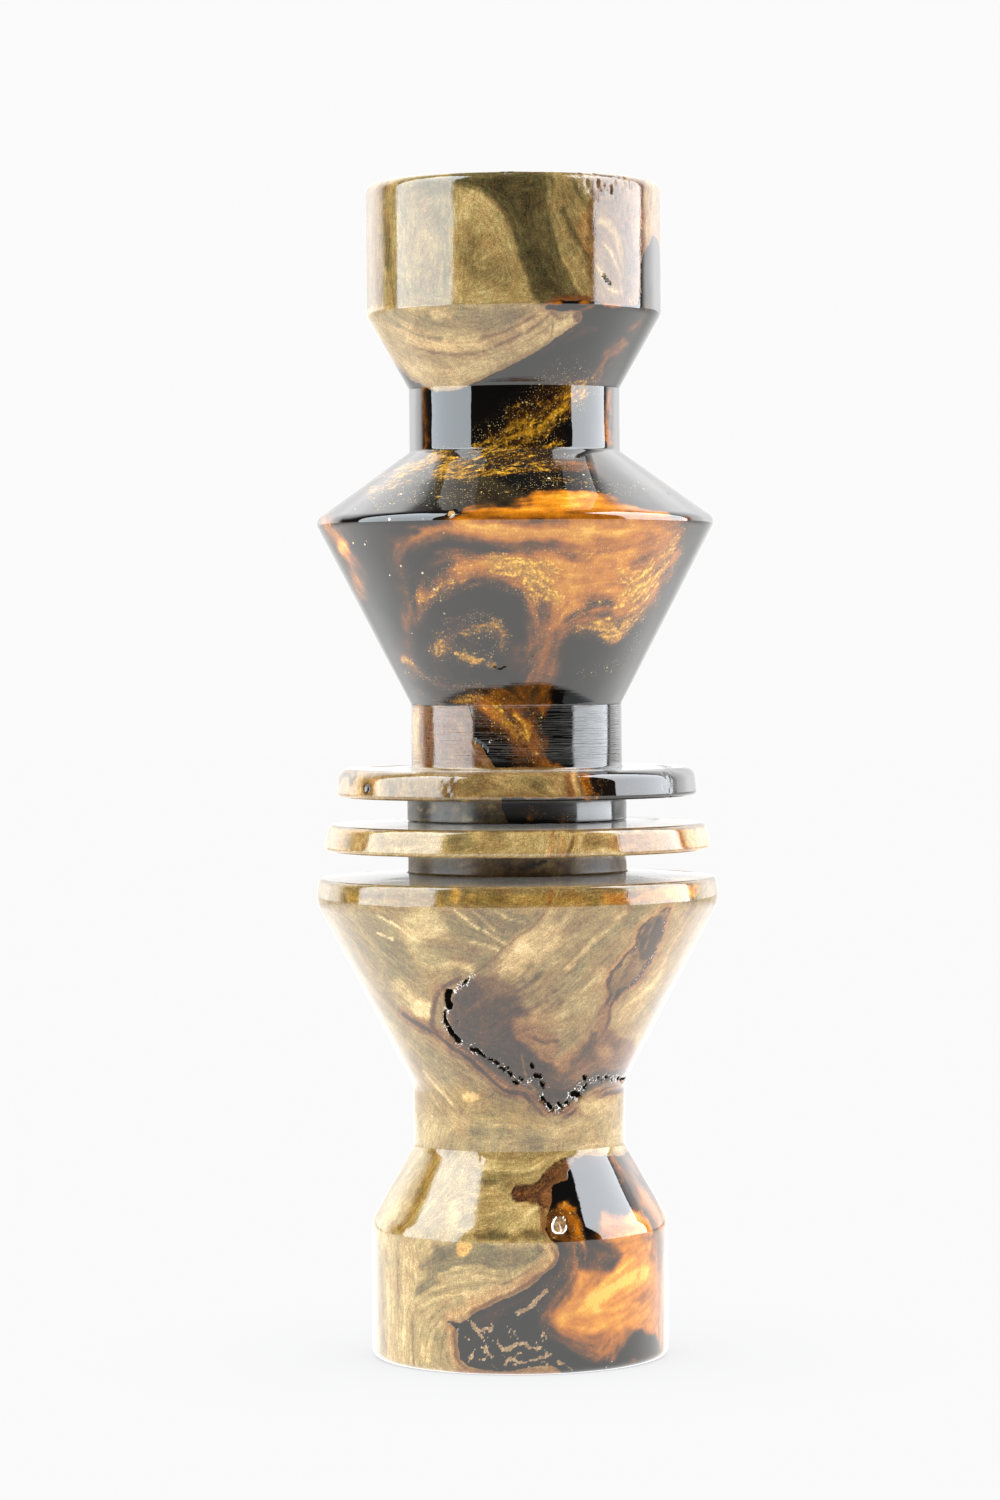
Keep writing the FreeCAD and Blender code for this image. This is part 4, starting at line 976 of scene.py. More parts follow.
def turned_mesh(name, outline, first_fine, last_fine, step, n_front, n_back, seed):
    prof, fine = profile_points(outline, first_fine, last_fine, step, 2.4)
    ang = column_angles(n_front, n_back)
    m, n = len(prof), len(ang)
    # outward normal of the profile
    t = np.roll(prof, -1, 0) - np.roll(prof, 1, 0)
    t /= np.linalg.norm(t, axis=1)[:, None] + 1e-12
    nr, nz = t[:, 1], -t[:, 0]
    R = prof[:, 0][:, None] * np.ones(n)[None]
    X = R * np.sin(ang)[None]
    Y = -R * np.cos(ang)[None]
    Z = prof[:, 1][:, None] * np.ones(n)[None]
    P = np.stack([X, Y, Z], -1).reshape(-1, 3)
    N = np.stack(
        [nr[:, None] * np.sin(ang)[None], -nr[:, None] * np.cos(ang)[None], nz[:, None] * np.ones(n)[None]], -1
    ).reshape(-1, 3)
    phi = (np.ones(m)[:, None] * ang[None]).reshape(-1)
    fine_v = (fine[:, None] * np.ones(n, bool)[None]).reshape(-1)

    # grid coordinates; the hidden side takes the mirrored front, drifting away from it
    Q = P.copy()
    Q[:, 1] = -np.abs(Q[:, 1])
    u, v = front_view(Q)
    turn = np.abs((np.degrees(phi) + 180) % 360 - 180)
    drift = smooth(66, 120, turn)
    a = 0.055
    u = u + drift * (84 * noise3(P * a + 3.1, seed + 1) + 24 * noise3(P * a * 2.7, seed + 2) - 26 * np.sin(phi) - 22)
    v = v + drift * (54 * noise3(P * a + 9.4, seed + 3) + 18 * noise3(P * a * 2.7, seed + 4))
    j1 = noise3(P * 0.75, seed + 5)
    j2 = noise3(P * 2.0, seed + 6)
    j3 = noise3(P * 0.75, seed + 7)
    j4 = noise3(P * 2.0, seed + 8)
    u = u + 1.1 * j1 + 0.5 * j2
    v = v + 1.1 * j3 + 0.5 * j4
    jit = 0.6 * noise3(P * 1.3, seed + 9) + 0.4 * noise3(P * 3.4, seed + 10)

    # faces square to the axis carry on the figure of the rim they end at
    V = v.reshape(m, n)
    flat = (np.abs(nz) > 0.9) & fine
    for i in range(m):
        if not flat[i]:
            continue
        k = i
        while flat[(k + 1) % m] and prof[(k + 1) % m, 0] > prof[k, 0]:
            k = (k + 1) % m
        if k == i:
            while flat[k - 1] and prof[k - 1, 0] > prof[k, 0]:
                k = (k - 1) % m
        band = 24.0 if 47 < prof[i, 1] < 56 else 90.0
        d = (prof[k, 0] - prof[i, 0]) / UNIT
        d = abs((d + band) % (2 * band) - band)
        V[i] = V[k] + (d if nz[i] > 0 else -d)
    v = V.reshape(-1)

    c = Canvas(u, v, jit, follow=True)
    for ch, value in dict(
        tone=0.5, warm=0.3, sat=0.0, rough=0.0, matte=0.0, brush=0.0, dust=0.0,
        pit=0.0, spark=0.0, chip=0.0, ring=0.0, bubble=0.0, squig=0.0
    ).items():
        c.new(ch, value)
    paint(c)

    # the resin was poured, so its shapes are drawn out into wisps
    way = 0.5 * np.arctan2(c.s2, c.c2)
    e_phi = np.stack([np.cos(phi), np.sin(phi), np.zeros_like(phi)], -1) * np.where(np.cos(phi) >= 0, 1, -1)[:, None]
    tr = (t[:, 0][:, None] * np.ones(n)[None]).reshape(-1)
    tz = (t[:, 1][:, None] * np.ones(n)[None]).reshape(-1)
    e_pro = np.stack([tr * np.sin(phi), -tr * np.cos(phi), tz], -1)
    T = e_phi * np.cos(way)[:, None] - e_pro * np.sin(way)[:, None]

    def along(scale, spacing, taps, sd, gain):
        total = 0.0
        for k in range(-taps, taps + 1):
            total = total + noise3((P + T * (k * spacing)) * scale, sd)
        return np.clip(total / (2 * taps + 1) * gain, -1.5, 1.5)

    wisp = along(0.80, 0.55, 5, seed + 21, 2.6)
    wisp2 = along(1.9, 0.30, 5, seed + 22, 2.8)
    wu = 3.4 * noise3(P * 0.33, seed + 23) + 2.4 * noise3(P * 0.8, seed + 24) + 2.0 * wisp * -np.sin(way) + 1.2 * wisp2 * -np.sin(way)
    wv = 3.4 * noise3(P * 0.33, seed + 25) + 2.4 * noise3(P * 0.8, seed + 26) + 2.0 * wisp * np.cos(way) + 1.2 * wisp2 * np.cos(way)
    r = Canvas(u + wu, v + wv, jit + 0.6 * wisp2, soften=1.9)
    r.new("amber", 0.03)
    r.new("gold", 0.0)
    paint(r)
    c.ch.update(r.ch)
    c.ch["wisp"] = 0.6 * wisp + 0.5 * wisp2
    resin = signed(u, v, [RESIN_TOP, RESIN_DISC1, RESIN_CORE1, RESIN_BASE]) * UNIT
    resin = resin + 0.10 * jit

    # inner walls: plain turned wood, a little darker
    inner = ~fine_v
    for ch in ("pit", "spark", "chip", "ring", "bubble", "squig", "rough", "dust"):
        c.ch[ch][inner] = 0.0
    side = turn > 97
    for ch in ("chip", "ring", "bubble", "squig"):
        c.ch[ch][side] = 0.0
    c.ch["pit"][side] *= 0.4

    # open voids are cut into the surface
    pit = c.ch["pit"]
    grain = 0.75 + 0.5 * noise3(P * 3.3, seed + 12)
    depth = pit * np.clip(grain, 0.3, 1.2)
    rough = c.ch["rough"]
    chips = rough * np.clip(noise3(P * 3.1, seed + 13) - 0.15, 0, 1) * 0.22
    # sanding leaves the surface a few hundredths of a millimetre out of true
    sway = 0.012 * noise3(P * 0.45, seed + 14) * fine_v
    P = P - N * (depth + chips)[:, None] + N * (sway - 0.012)[:, None] * fine_v[:, None]
    P[:, 2] = np.clip(P[:, 2], outline_min(outline), outline_max(outline))

    verts = P * MM
    i = np.arange(m)
    j = np.arange(n)
    I, J = np.meshgrid(i, j, indexing="ij")
    a0 = I * n + J
    a1 = ((I + 1) % m) * n + J
    b0 = I * n + (J + 1) % n
    b1 = ((I + 1) % m) * n + (J + 1) % n
    faces = np.stack([a0, b0, b1, a1], -1).reshape(-1, 4)

    mesh = bpy.data.meshes.new(name)
    mesh.vertices.add(len(verts))
    mesh.vertices.foreach_set("co", verts.astype(np.float32).ravel())
    mesh.loops.add(faces.size)
    mesh.loops.foreach_set("vertex_index", faces.astype(np.int32).ravel())
    mesh.polygons.add(len(faces))
    mesh.polygons.foreach_set("loop_start", (np.arange(len(faces)) * 4).astype(np.int32))
    mesh.polygons.foreach_set("loop_total", np.full(len(faces), 4, np.int32))
    mesh.update(calc_edges=True)
    mesh.validate()
    mesh.polygons.foreach_set("use_smooth", np.ones(len(faces), bool))
    c.ch["resin"] = resin
    c.ch["inner"] = inner.astype(float)
    for ch, values in c.ch.items():
        at = mesh.attributes.new("m_" + ch, "FLOAT", "POINT")
        at.data.foreach_set("value", values.astype(np.float32))
    at = mesh.attributes.new("m_way", "FLOAT_VECTOR", "POINT")
    at.data.foreach_set("vector", T.astype(np.float32).ravel())
    print("turned", name, len(verts), "vertices", m, "rows", n, "columns")
    obj = bpy.data.objects.new(name, mesh)
    bpy.context.scene.collection.objects.link(obj)
    return obj


def outline_min(o):
    return min(p[1] for p in o)


def outline_max(o):
    return max(p[1] for p in o)


# ======================================================================================
# shader helpers
# ======================================================================================


class Nodes:
    def __init__(self, name):
        self.mat = bpy.data.materials.new(name)
        self.mat.use_nodes = True
        self.t = self.mat.node_tree
        self.t.nodes.clear()
        self.out = self.t.nodes.new("ShaderNodeOutputMaterial")
        self.x = 0

    def node(self, kind, **props):
        n = self.t.nodes.new(kind)
        self.x += 1
        n.location = ((self.x % 40) * 180, -(self.x // 40) * 300)
        for k, v in props.items():
            setattr(n, k, v)
        return n

    def set(self, socket, value):
        if hasattr(value, "is_linked") or isinstance(value, bpy.types.NodeSocket):
            self.t.links.new(value, socket)
        else:
            socket.default_value = value

    def math(self, op, a, b=0.0, c=0.0, clamp=False):
        n = self.node("ShaderNodeMath", operation=op, use_clamp=clamp)
        self.set(n.inputs[0], a)
        self.set(n.inputs[1], b)
        if op in ("MULTIPLY_ADD", "COMPARE", "SMOOTH_MIN", "SMOOTH_MAX"):
            self.set(n.inputs[2], c)
        return n.outputs[0]

    def add(self, a, b):
        return self.math("ADD", a, b)

    def mul(self, a, b):
        return self.math("MULTIPLY", a, b)

    def madd(self, a, b, c):
        return self.math("MULTIPLY_ADD", a, b, c)

    def step(self, x, lo, hi):
        n = self.node("ShaderNodeMapRange", interpolation_type="SMOOTHSTEP", clamp=True)
        self.set(n.inputs["Value"], x)
        self.set(n.inputs["From Min"], lo)
        self.set(n.inputs["From Max"], hi)
        return n.outputs["Result"]

    def attr(self, name):
        return self.node("ShaderNodeAttribute", attribute_name="m_" + name).outputs["Fac"]

    def coords(self, scale=1000.0):
        tc = self.node("ShaderNodeTexCoord")
        return self.scaled(tc.outputs["Object"], (scale,) * 3)

    def scaled(self, vec, s, rot=(0, 0, 0), loc=(0, 0, 0)):
        n = self.node("ShaderNodeMapping")
        self.set(n.inputs["Vector"], vec)
        n.inputs["Scale"].default_value = s
        n.inputs["Rotation"].default_value = rot
        n.inputs["Location"].default_value = loc
        return n.outputs[0]

    def noise(self, vec, scale, detail=3.0, rough=0.5, dist=0.0, color=False):
        n = self.node("ShaderNodeTexNoise")
        self.set(n.inputs["Vector"], vec)
        n.inputs["Scale"].default_value = scale
        n.inputs["Detail"].default_value = detail
        n.inputs["Roughness"].default_value = rough
        n.inputs["Distortion"].default_value = dist
        return n.outputs["Color" if color else "Fac"]

    def drawn(self, vec, way, scale, spacing, taps=3, gain=5.0):
        """Noise drawn out along a direction, about -1 to 1."""
        total = None
        for k in range(-taps, taps + 1):
            n = self.node("ShaderNodeVectorMath", operation="MULTIPLY_ADD")
            self.set(n.inputs[0], way)
            n.inputs[1].default_value = (k * spacing,) * 3
            self.set(n.inputs[2], vec)
            v = self.noise(n.outputs[0], scale, 1.0, 0.5)
            total = v if total is None else self.add(total, v)
        m = 2 * taps + 1
        return self.madd(total, gain / m, -gain * 0.5)

    def voronoi(self, vec, scale, feature="F1", out="Distance", rand=1.0):
        n = self.node("ShaderNodeTexVoronoi", feature=feature)
        self.set(n.inputs["Vector"], vec)
        n.inputs["Scale"].default_value = scale
        n.inputs["Randomness"].default_value = rand
        return n.outputs[out]

    def vadd(self, a, b):
        n = self.node("ShaderNodeVectorMath", operation="ADD")
        self.set(n.inputs[0], a)
        self.set(n.inputs[1], b)
        return n.outputs[0]

    def warp(self, vec, scale, amount, detail=2.0):
        c = self.noise(vec, scale, detail, 0.5, color=True)
        n = self.node("ShaderNodeVectorMath", operation="MULTIPLY_ADD")
        self.set(n.inputs[0], c)
        n.inputs[1].default_value = (amount,) * 3
        n.inputs[2].default_value = (-amount / 2,) * 3
        return self.vadd(vec, n.outputs[0])

    def ramp(self, fac, stops, interp="LINEAR"):
        n = self.node("ShaderNodeValToRGB")
        r = n.color_ramp
        r.interpolation = interp
        while len(r.elements) > 1:
            r.elements.remove(r.elements[-1])
        r.elements[0].position = stops[0][0]
        r.elements[0].color = (*stops[0][1], 1)
        for p, col in stops[1:]:
            e = r.elements.new(p)
            e.color = (*col, 1)
        self.set(n.inputs[0], fac)
        return n.outputs[0]

    def mix(self, fac, a, b, blend="MIX"):
        n = self.node("ShaderNodeMix", data_type="RGBA", blend_type=blend)
        self.set(n.inputs[0], fac)
        for s, v in ((n.inputs[6], a), (n.inputs[7], b)):
            self.set(s, (*v, 1) if isinstance(v, tuple) and len(v) == 3 else v)
        return n.outputs[2]

    def fmix(self, fac, a, b):
        n = self.node("ShaderNodeMix", data_type="FLOAT")
        self.set(n.inputs[0], fac)
        self.set(n.inputs[2], a)
        self.set(n.inputs[3], b)
        return n.outputs[0]

    def bump(self, height, distance, strength=1.0, normal=None):
        n = self.node("ShaderNodeBump")
        n.inputs["Strength"].default_value = strength
        n.inputs["Distance"].default_value = distance
        self.set(n.inputs["Height"], height)
        if normal is not None:
            self.set(n.inputs["Normal"], normal)
        return n.outputs[0]

    def principled(self, **kw):
        n = self.node("ShaderNodeBsdfPrincipled")
        for k, v in kw.items():
            self.set(n.inputs[k.replace("_", " ")], v)
        self.t.links.new(n.outputs[0], self.out.inputs[0])
        return n


def rgb(r, g, b):
    return (r, g, b)


# ======================================================================================
# the hybrid blank: burl wood cast in black and amber resin, under a gloss finish
# ======================================================================================


def hybrid_material():
    g = Nodes("hybrid_blank")
    p = g.coords()                                   # millimetres
    tone, warm, sat = g.attr("tone"), g.attr("warm"), g.attr("sat")
    amber, gold, wisp = g.attr("amber"), g.attr("gold"), g.attr("wisp")
    sdf, roughA, pit, spark = g.attr("resin"), g.attr("rough"), g.attr("pit"), g.attr("spark")
    chip, ring, bubble, squig = g.attr("chip"), g.attr("ring"), g.attr("bubble"), g.attr("squig")
    inner, matte, brush, dust = g.attr("inner"), g.attr("matte"), g.attr("brush"), g.attr("dust")
    way = g.node("ShaderNodeAttribute", attribute_name="m_way").outputs["Vector"]

    fineN = g.drawn(p, way, 2.9, 0.26, 3, 5.5)
    speck = g.noise(p, 4.6, 2.0, 0.7)
    speckN = g.madd(speck, 2.0, -1.0)

    # wood figure
    pw = g.warp(p, 0.22, 3.0, 3.0)
    mott = g.noise(pw, 0.42, 5.0, 0.6, 0.6)
    fibre = g.noise(g.scaled(p, (3.4, 3.4, 1.5), (0.3, 0.55, 0.2)), 1.0, 3.0, 0.65)
    burl = g.noise(g.warp(p, 0.6, 1.6, 3.0), 1.1, 4.0, 0.6, 1.0)
    hair = g.drawn(p, way, 6.0, 0.15, 2, 4.5)
    dots = g.noise(p, 9.0, 1.0, 0.6)
    t = g.add(tone, g.madd(mott, 0.36, -0.185))
    t = g.add(t, g.mul(wisp, 0.055))
    t = g.add(t, g.madd(burl, 0.20, -0.105))
    t = g.add(t, g.mul(fineN, 0.100))
    t = g.add(t, g.mul(hair, 0.108))
    t = g.add(t, g.madd(fibre, 0.24, -0.125))
    t = g.add(t, g.madd(dots, 0.46, -0.23))
    w = g.add(warm, g.madd(g.noise(pw, 0.7, 3.0), 0.7, -0.35))
    olive = g.ramp(t, [(0.0, (0.010, 0.008, 0.004)), (0.22, (0.034, 0.027, 0.010)), (0.42, (0.084, 0.065, 0.024)),
                       (0.60, (0.172, 0.130, 0.048)), (0.80, (0.325, 0.255, 0.116)), (1.0, (0.56, 0.47, 0.28))])
    brown = g.ramp(t, [(0.0, (0.008, 0.004, 0.003)), (0.2, (0.040, 0.013, 0.005)), (0.4, (0.112, 0.043, 0.012)),
                       (0.60, (0.222, 0.114, 0.036)), (0.80, (0.41, 0.258, 0.104)), (1.0, (0.62, 0.45, 0.24))])
    wood = g.mix(g.math("ADD", w, 0.0, clamp=True), olive, brown)
    yellow = g.mix(0.75, wood, (1.0, 0.78, 0.22), "MULTIPLY")
    boosted = g.mix(1.0, yellow, (1.4, 1.4, 1.4), "MULTIPLY")
    wood = g.mix(g.math("MULTIPLY", sat, 0.8, clamp=True), wood, boosted)
    # stained rim where the wood meets the resin
    rim = g.step(g.add(sdf, g.mul(speckN, 0.10)), -0.60, -0.03)
    wood = g.mix(g.mul(rim, 0.55), wood, (0.085, 0.034, 0.010), "MIX")

    # resin figure
    env = g.step(amber, 0.04, 0.34)
    am = g.add(amber, g.mul(env, g.add(g.mul(wisp, 0.20), g.mul(fineN, 0.13))))
    am = g.add(am, g.mul(g.mul(speckN, 0.13), env))
    haze = g.noise(g.warp(p, 0.3, 2.5, 2.0), 0.5, 4.0, 0.6)
    am = g.add(am, g.mul(env, g.madd(haze, 0.5, -0.25)))
    resin = g.ramp(am, [(0.0, (0.0010, 0.0011, 0.0011)), (0.10, (0.0030, 0.0018, 0.0012)), (0.25, (0.016, 0.0060, 0.0016)),
                        (0.42, (0.060, 0.0185, 0.0020)), (0.60, (0.160, 0.046, 0.0020)), (0.78, (0.265, 0.085, 0.0028)),
                        (0.92, (0.340, 0.140, 0.0080)), (1.0, (0.42, 0.215, 0.028))])
    gv = g.madd(gold, 1.45, -0.78)
    strand = g.drawn(g.warp(p, 0.9, 1.5, 2.0), way, 2.3, 0.22, 2, 4.6)
    gv = g.add(gv, g.add(g.mul(strand, 0.52), g.add(g.mul(fineN, 0.16), g.mul(wisp, 0.34))))
    gv = g.add(gv, g.mul(speckN, 0.34))
    gm = g.step(gv, -0.08, 0.55)
    gb = g.add(g.add(g.madd(strand, 0.56, 0.36), g.mul(am, 0.40)), g.add(g.mul(speckN, 0.5), g.mul(fineN, 0.12)))
    gcol = g.ramp(gb, [(0.0, (0.016, 0.008, 0.001)), (0.3, (0.070, 0.036, 0.003)), (0.6, (0.200, 0.092, 0.005)), (0.85, (0.36, 0.178, 0.013)), (1.0, (0.60, 0.345, 0.045))])
    resin = g.mix(g.mul(gm, 0.9), resin, gcol)
    # loose mica
    cell = g.voronoi(p, 2.6)
    cellc = g.voronoi(p, 2.6, out="Color")
    sep = g.node("ShaderNodeSeparateColor")
    g.set(sep.inputs[0], cellc)
    lucky = g.step(sep.outputs[0], 0.88, 0.91)
    dot = g.mul(g.math("SUBTRACT", 1.0, g.step(cell, 0.16, 0.30)), lucky)
    dot = g.mul(dot, g.step(g.add(gold, g.madd(haze, 0.3, -0.1)), 0.10, 0.40))
    resin = g.mix(g.mul(dot, 0.7), resin, (0.36, 0.25, 0.07))
    dcell = g.voronoi(p, 6.2)
    dcolor = g.voronoi(p, 6.2, out="Color")
    sep3 = g.node("ShaderNodeSeparateColor")
    g.set(sep3.inputs[0], dcolor)
    mica = g.mul(g.math("SUBTRACT", 1.0, g.step(dcell, 0.18, 0.42)), g.step(sep3.outputs[0], 0.60, 0.66))
    mica = g.mul(mica, g.step(g.add(gold, g.madd(haze, 0.3, -0.12)), 0.06, 0.36))
    resin = g.mix(g.mul(mica, g.madd(sep3.outputs[1], 0.5, 0.2)), resin, (0.30, 0.24, 0.11))

    # bark squiggles caught in the resin, the chip and the bubble
    bits = g.ramp(g.add(g.mul(fibre, 0.7), g.mul(speck, 0.5)), [(0.2, (0.02, 0.010, 0.004)), (0.6, (0.14, 0.080, 0.036)), (0.9, (0.38, 0.28, 0.16))])
    sq = g.step(g.add(squig, g.mul(speckN, 0.7)), 0.34, 0.60)
    resin = g.mix(sq, resin, bits)

    mask = g.step(g.add(sdf, g.mul(speckN, 0.12)), -0.05, 0.05)
    col = g.mix(mask, wood, resin)
    # dust under the finish
    cell2 = g.voronoi(p, 0.95)
    cell2c = g.voronoi(p, 0.95, out="Color")
    sep2 = g.node("ShaderNodeSeparateColor")
    g.set(sep2.inputs[0], cell2c)
    pick = g.step(g.math("SUBTRACT", sep2.outputs[0], g.math("SUBTRACT", 1.0, dust)), 0.0, 0.02)
    speckd = g.mul(g.math("SUBTRACT", 1.0, g.step(cell2, 0.06, g.madd(sep2.outputs[1], 0.10, 0.085))), pick)
    col = g.mix(speckd, col, (0.42, 0.34, 0.20))
    col = g.mix(g.step(chip, 0.3, 0.7), col, (0.26, 0.155, 0.06))
    col = g.mix(g.step(bubble, 0.3, 0.7), col, bits)
    # painted highlight: a near-white ring for the light caught on the bubble's rim
    col = g.mix(g.step(ring, 0.4, 0.6), col, (0.55, 0.53, 0.48))

    # rough places and the painted glints on them; open voids, cut in and painted near-black as shade
    grit2 = g.noise(p, 5.2, 2.0, 0.7)
    gritN = g.madd(grit2, 2.0, -1.0)
    painted_glint = g.step(g.add(g.mul(spark, 0.66), g.mul(gritN, 1.35)), 0.52, 0.72)
    painted_glint = g.mul(painted_glint, g.step(spark, 0.10, 0.35))
    col = g.mix(painted_glint, col, (0.50, 0.47, 0.42))
    crumb = g.mul(g.step(roughA, 0.1, 0.5), g.step(gritN, 0.12, 0.42))
    col = g.mix(g.mul(crumb, 0.8), col, (0.05, 0.035, 0.02))
    # painted shade: the voids take a near-black colour for the shade inside them
    hole = g.step(pit, 0.10, 0.24)
    hole = g.mul(hole, g.math("SUBTRACT", 1.0, g.step(bubble, 0.2, 0.5)))
    col = g.mix(hole, col, (0.004, 0.003, 0.002))
    col = g.mix(g.mul(inner, 0.35), col, (0.05, 0.03, 0.015))

    # surface
    gloss = g.math("SUBTRACT", 1.0, g.math("MAXIMUM", hole, g.math("MAXIMUM", g.mul(inner, 0.6), g.mul(matte, 0.70))))
    pores = g.mul(g.math("SUBTRACT", 1.0, mask), g.add(g.mul(fibre, 0.6), g.mul(speck, 0.6)))
    lathe = g.noise(g.scaled(p, (0.10, 0.10, 8.0)), 1.0, 2.0, 0.7)
    height = g.add(g.mul(pores, 1.7), g.mul(lathe, g.madd(brush, 2.6, 0.4)))
    height = g.add(height, g.mul(grit2, g.mul(g.math("MAXIMUM", roughA, spark), 5.0)))
    orange = g.noise(p, 0.8, 2.0, 0.5)
    height = g.add(height, g.mul(orange, 1.0))
    coat_n = g.bump(height, 0.0000045, 1.0)
    base_n = g.bump(g.add(g.mul(fibre, 0.5), g.mul(speck, 0.5)), 0.00004, 0.6)
    b = g.principled(
        Base_Color=col,
        Roughness=0.6,
        Normal=base_n,
    )
    b.inputs["Specular IOR Level"].default_value = 0.0
    g.set(b.inputs["Coat Weight"], gloss)
    cr = g.fmix(g.math("MAXIMUM", roughA, g.mul(spark, 0.5)), g.fmix(mask, 0.028, 0.016), 0.20)
    g.set(b.inputs["Coat Roughness"], g.math("MAXIMUM", cr, g.mul(matte, 0.45)))
    b.inputs["Coat IOR"].default_value = 1.53
    g.set(b.inputs["Coat Normal"], coat_n)
    b.inputs["Sheen Weight"].default_value = 0.10
    b.inputs["Sheen Roughness"].default_value = 0.30
    return g.mat


# ======================================================================================
# the inner pieces
# ======================================================================================


def acrylic_material():
    g = Nodes("toneboard_acrylic")
    p = g.coords()
    cloud = g.noise(g.warp(p, 0.12, 4.0), 0.16, 4.0, 0.55, 0.8)
    swirl = g.noise(g.scaled(g.warp(p, 0.2, 3.0), (1, 1, 0.4)), 0.5, 5.0, 0.6, 1.5)
    col = g.ramp(g.add(g.mul(cloud, 0.6), g.mul(swirl, 0.4)),
                 [(0.22, (0.14, 0.100, 0.055)), (0.40, (0.22, 0.170, 0.105)), (0.54, (0.31, 0.260, 0.175)), (0.68, (0.38, 0.335, 0.250)), (0.85, (0.45, 0.415, 0.335))])
    lathe = g.noise(g.scaled(p, (0.05, 0.05, 12.0)), 1.0, 3.0, 0.6)
    scuff = g.noise(g.scaled(p, (6.0, 1.0, 0.5), (0, 0.2, 0)), 1.0, 3.0, 0.7)
    col = g.mix(g.mul(g.step(scuff, 0.60, 0.75), 0.18), col, (0.45, 0.40, 0.30))
    n = g.bump(g.add(lathe, g.mul(scuff, 0.6)), 0.000012, 0.7)
    b = g.principled(Base_Color=col, Roughness=g.madd(scuff, 0.30, 0.12), Normal=n)
    b.inputs["Subsurface Weight"].default_value = 0.15
    b.inputs["Subsurface Radius"].default_value = (0.004, 0.003, 0.002)
    b.inputs["Subsurface Scale"].default_value = 0.4
    b.inputs["IOR"].default_value = 1.49
    return g.mat


def film_material():
    g = Nodes("reed_film")
    p = g.coords()
    haze = g.noise(p, 0.5, 4.0, 0.6)
    scratch = g.noise(g.scaled(p, (5.0, 5.0, 0.35)), 1.0, 4.0, 0.7)
    col = g.ramp(g.add(g.mul(haze, 0.5), g.mul(scratch, 0.5)), [(0.3, (0.30, 0.36, 0.38)), (0.7, (0.46, 0.51, 0.51))])
    n = g.bump(scratch, 0.000006, 0.6)
    b = g.principled(Base_Color=col, Roughness=g.madd(scratch, 0.35, 0.16), Normal=n)
    g.set(b.inputs["Alpha"], g.madd(haze, 0.30, 0.50))
    b.inputs["IOR"].default_value = 1.6
    return g.mat


def cork_material():
    g = Nodes("cork")
    p = g.coords()
    q = g.warp(g.warp(p, 1.6, 0.55), 5.0, 0.14)
    cells = g.voronoi(q, 1.7, out="Color")
    sep = g.node("ShaderNodeSeparateColor")
    g.set(sep.inputs[0], cells)
    edge = g.voronoi(q, 1.7, feature="DISTANCE_TO_EDGE")
    grain = g.noise(p, 3.4, 5.0, 0.72)
    fleck = g.noise(g.warp(p, 2.0, 0.8), 5.5, 2.0, 0.7)
    col = g.ramp(g.add(g.mul(sep.outputs[0], 0.30), g.add(g.mul(grain, 0.45), g.mul(fleck, 0.28))),
                 [(0.28, (0.10, 0.045, 0.018)), (0.42, (0.21, 0.112, 0.050)), (0.56, (0.31, 0.180, 0.088)), (0.72, (0.42, 0.265, 0.145))])
    gap = g.math("SUBTRACT", 1.0, g.step(edge, 0.0, 0.10))
    pore = g.step(g.noise(g.scaled(g.warp(p, 1.0, 0.6), (2.6, 2.6, 4.4)), 1.0, 2.0, 0.6), 0.60, 0.70)
    col = g.mix(g.math("MAXIMUM", g.mul(gap, 0.30), g.mul(pore, 0.85)), col, (0.050, 0.022, 0.010))
    n = g.bump(g.math("SUBTRACT", g.add(g.mul(edge, 0.6), g.mul(grain, 0.8)), g.mul(pore, 1.1)), 0.00018, 0.8)
    g.principled(Base_Color=col, Roughness=g.madd(grain, 0.2, 0.72), Normal=n)
    return g.mat


def rubber_material():
    g = Nodes("ring_rubber")
    p = g.coords()
    wear = g.noise(p, 1.4, 5.0, 0.65)
    dust = g.noise(p, 6.0, 3.0, 0.7)
    col = g.ramp(g.add(g.mul(wear, 0.6), g.mul(dust, 0.4)), [(0.3, (0.008, 0.008, 0.009)), (0.55, (0.016, 0.016, 0.017)), (0.75, (0.036, 0.035, 0.034))])
    seam = g.noise(g.scaled(p, (0.2, 0.2, 7.0)), 1.0, 2.0, 0.5)
    n = g.bump(g.add(g.mul(dust, 0.6), g.mul(seam, 0.4)), 0.00002, 0.7)
    g.principled(Base_Color=col, Roughness=g.madd(wear, 0.35, 0.26), Normal=n)
    return g.mat


# ======================================================================================
# build
# ======================================================================================

FRONT, BACK, STEP = (300, 96, 0.22)
hybrid = hybrid_material()

barrel = turned_mesh("barrel_turned", BARREL, 1, 12, STEP, FRONT, BACK, 11)
barrel.data.materials.append(hybrid)
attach(barrel, "barrel")
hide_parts("barrel")

insert = turned_mesh("insert_turned", INSERT, 0, 11, STEP, FRONT, BACK, 11)
insert.data.materials.append(hybrid)
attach(insert, "insert")
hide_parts("insert_body")

looks = {
    "toneboard": acrylic_material(),
    "reed_wedge": cork_material(),
}
rubber = rubber_material()
for name in ("insert_o_ring_lower", "insert_o_ring_upper", "barrel_o_ring_lower", "barrel_o_ring_upper"):
    looks[name] = rubber
film = film_material()
for name, mat in looks.items():
    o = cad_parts[name]
    o.data.materials.clear()
    o.data.materials.append(mat)
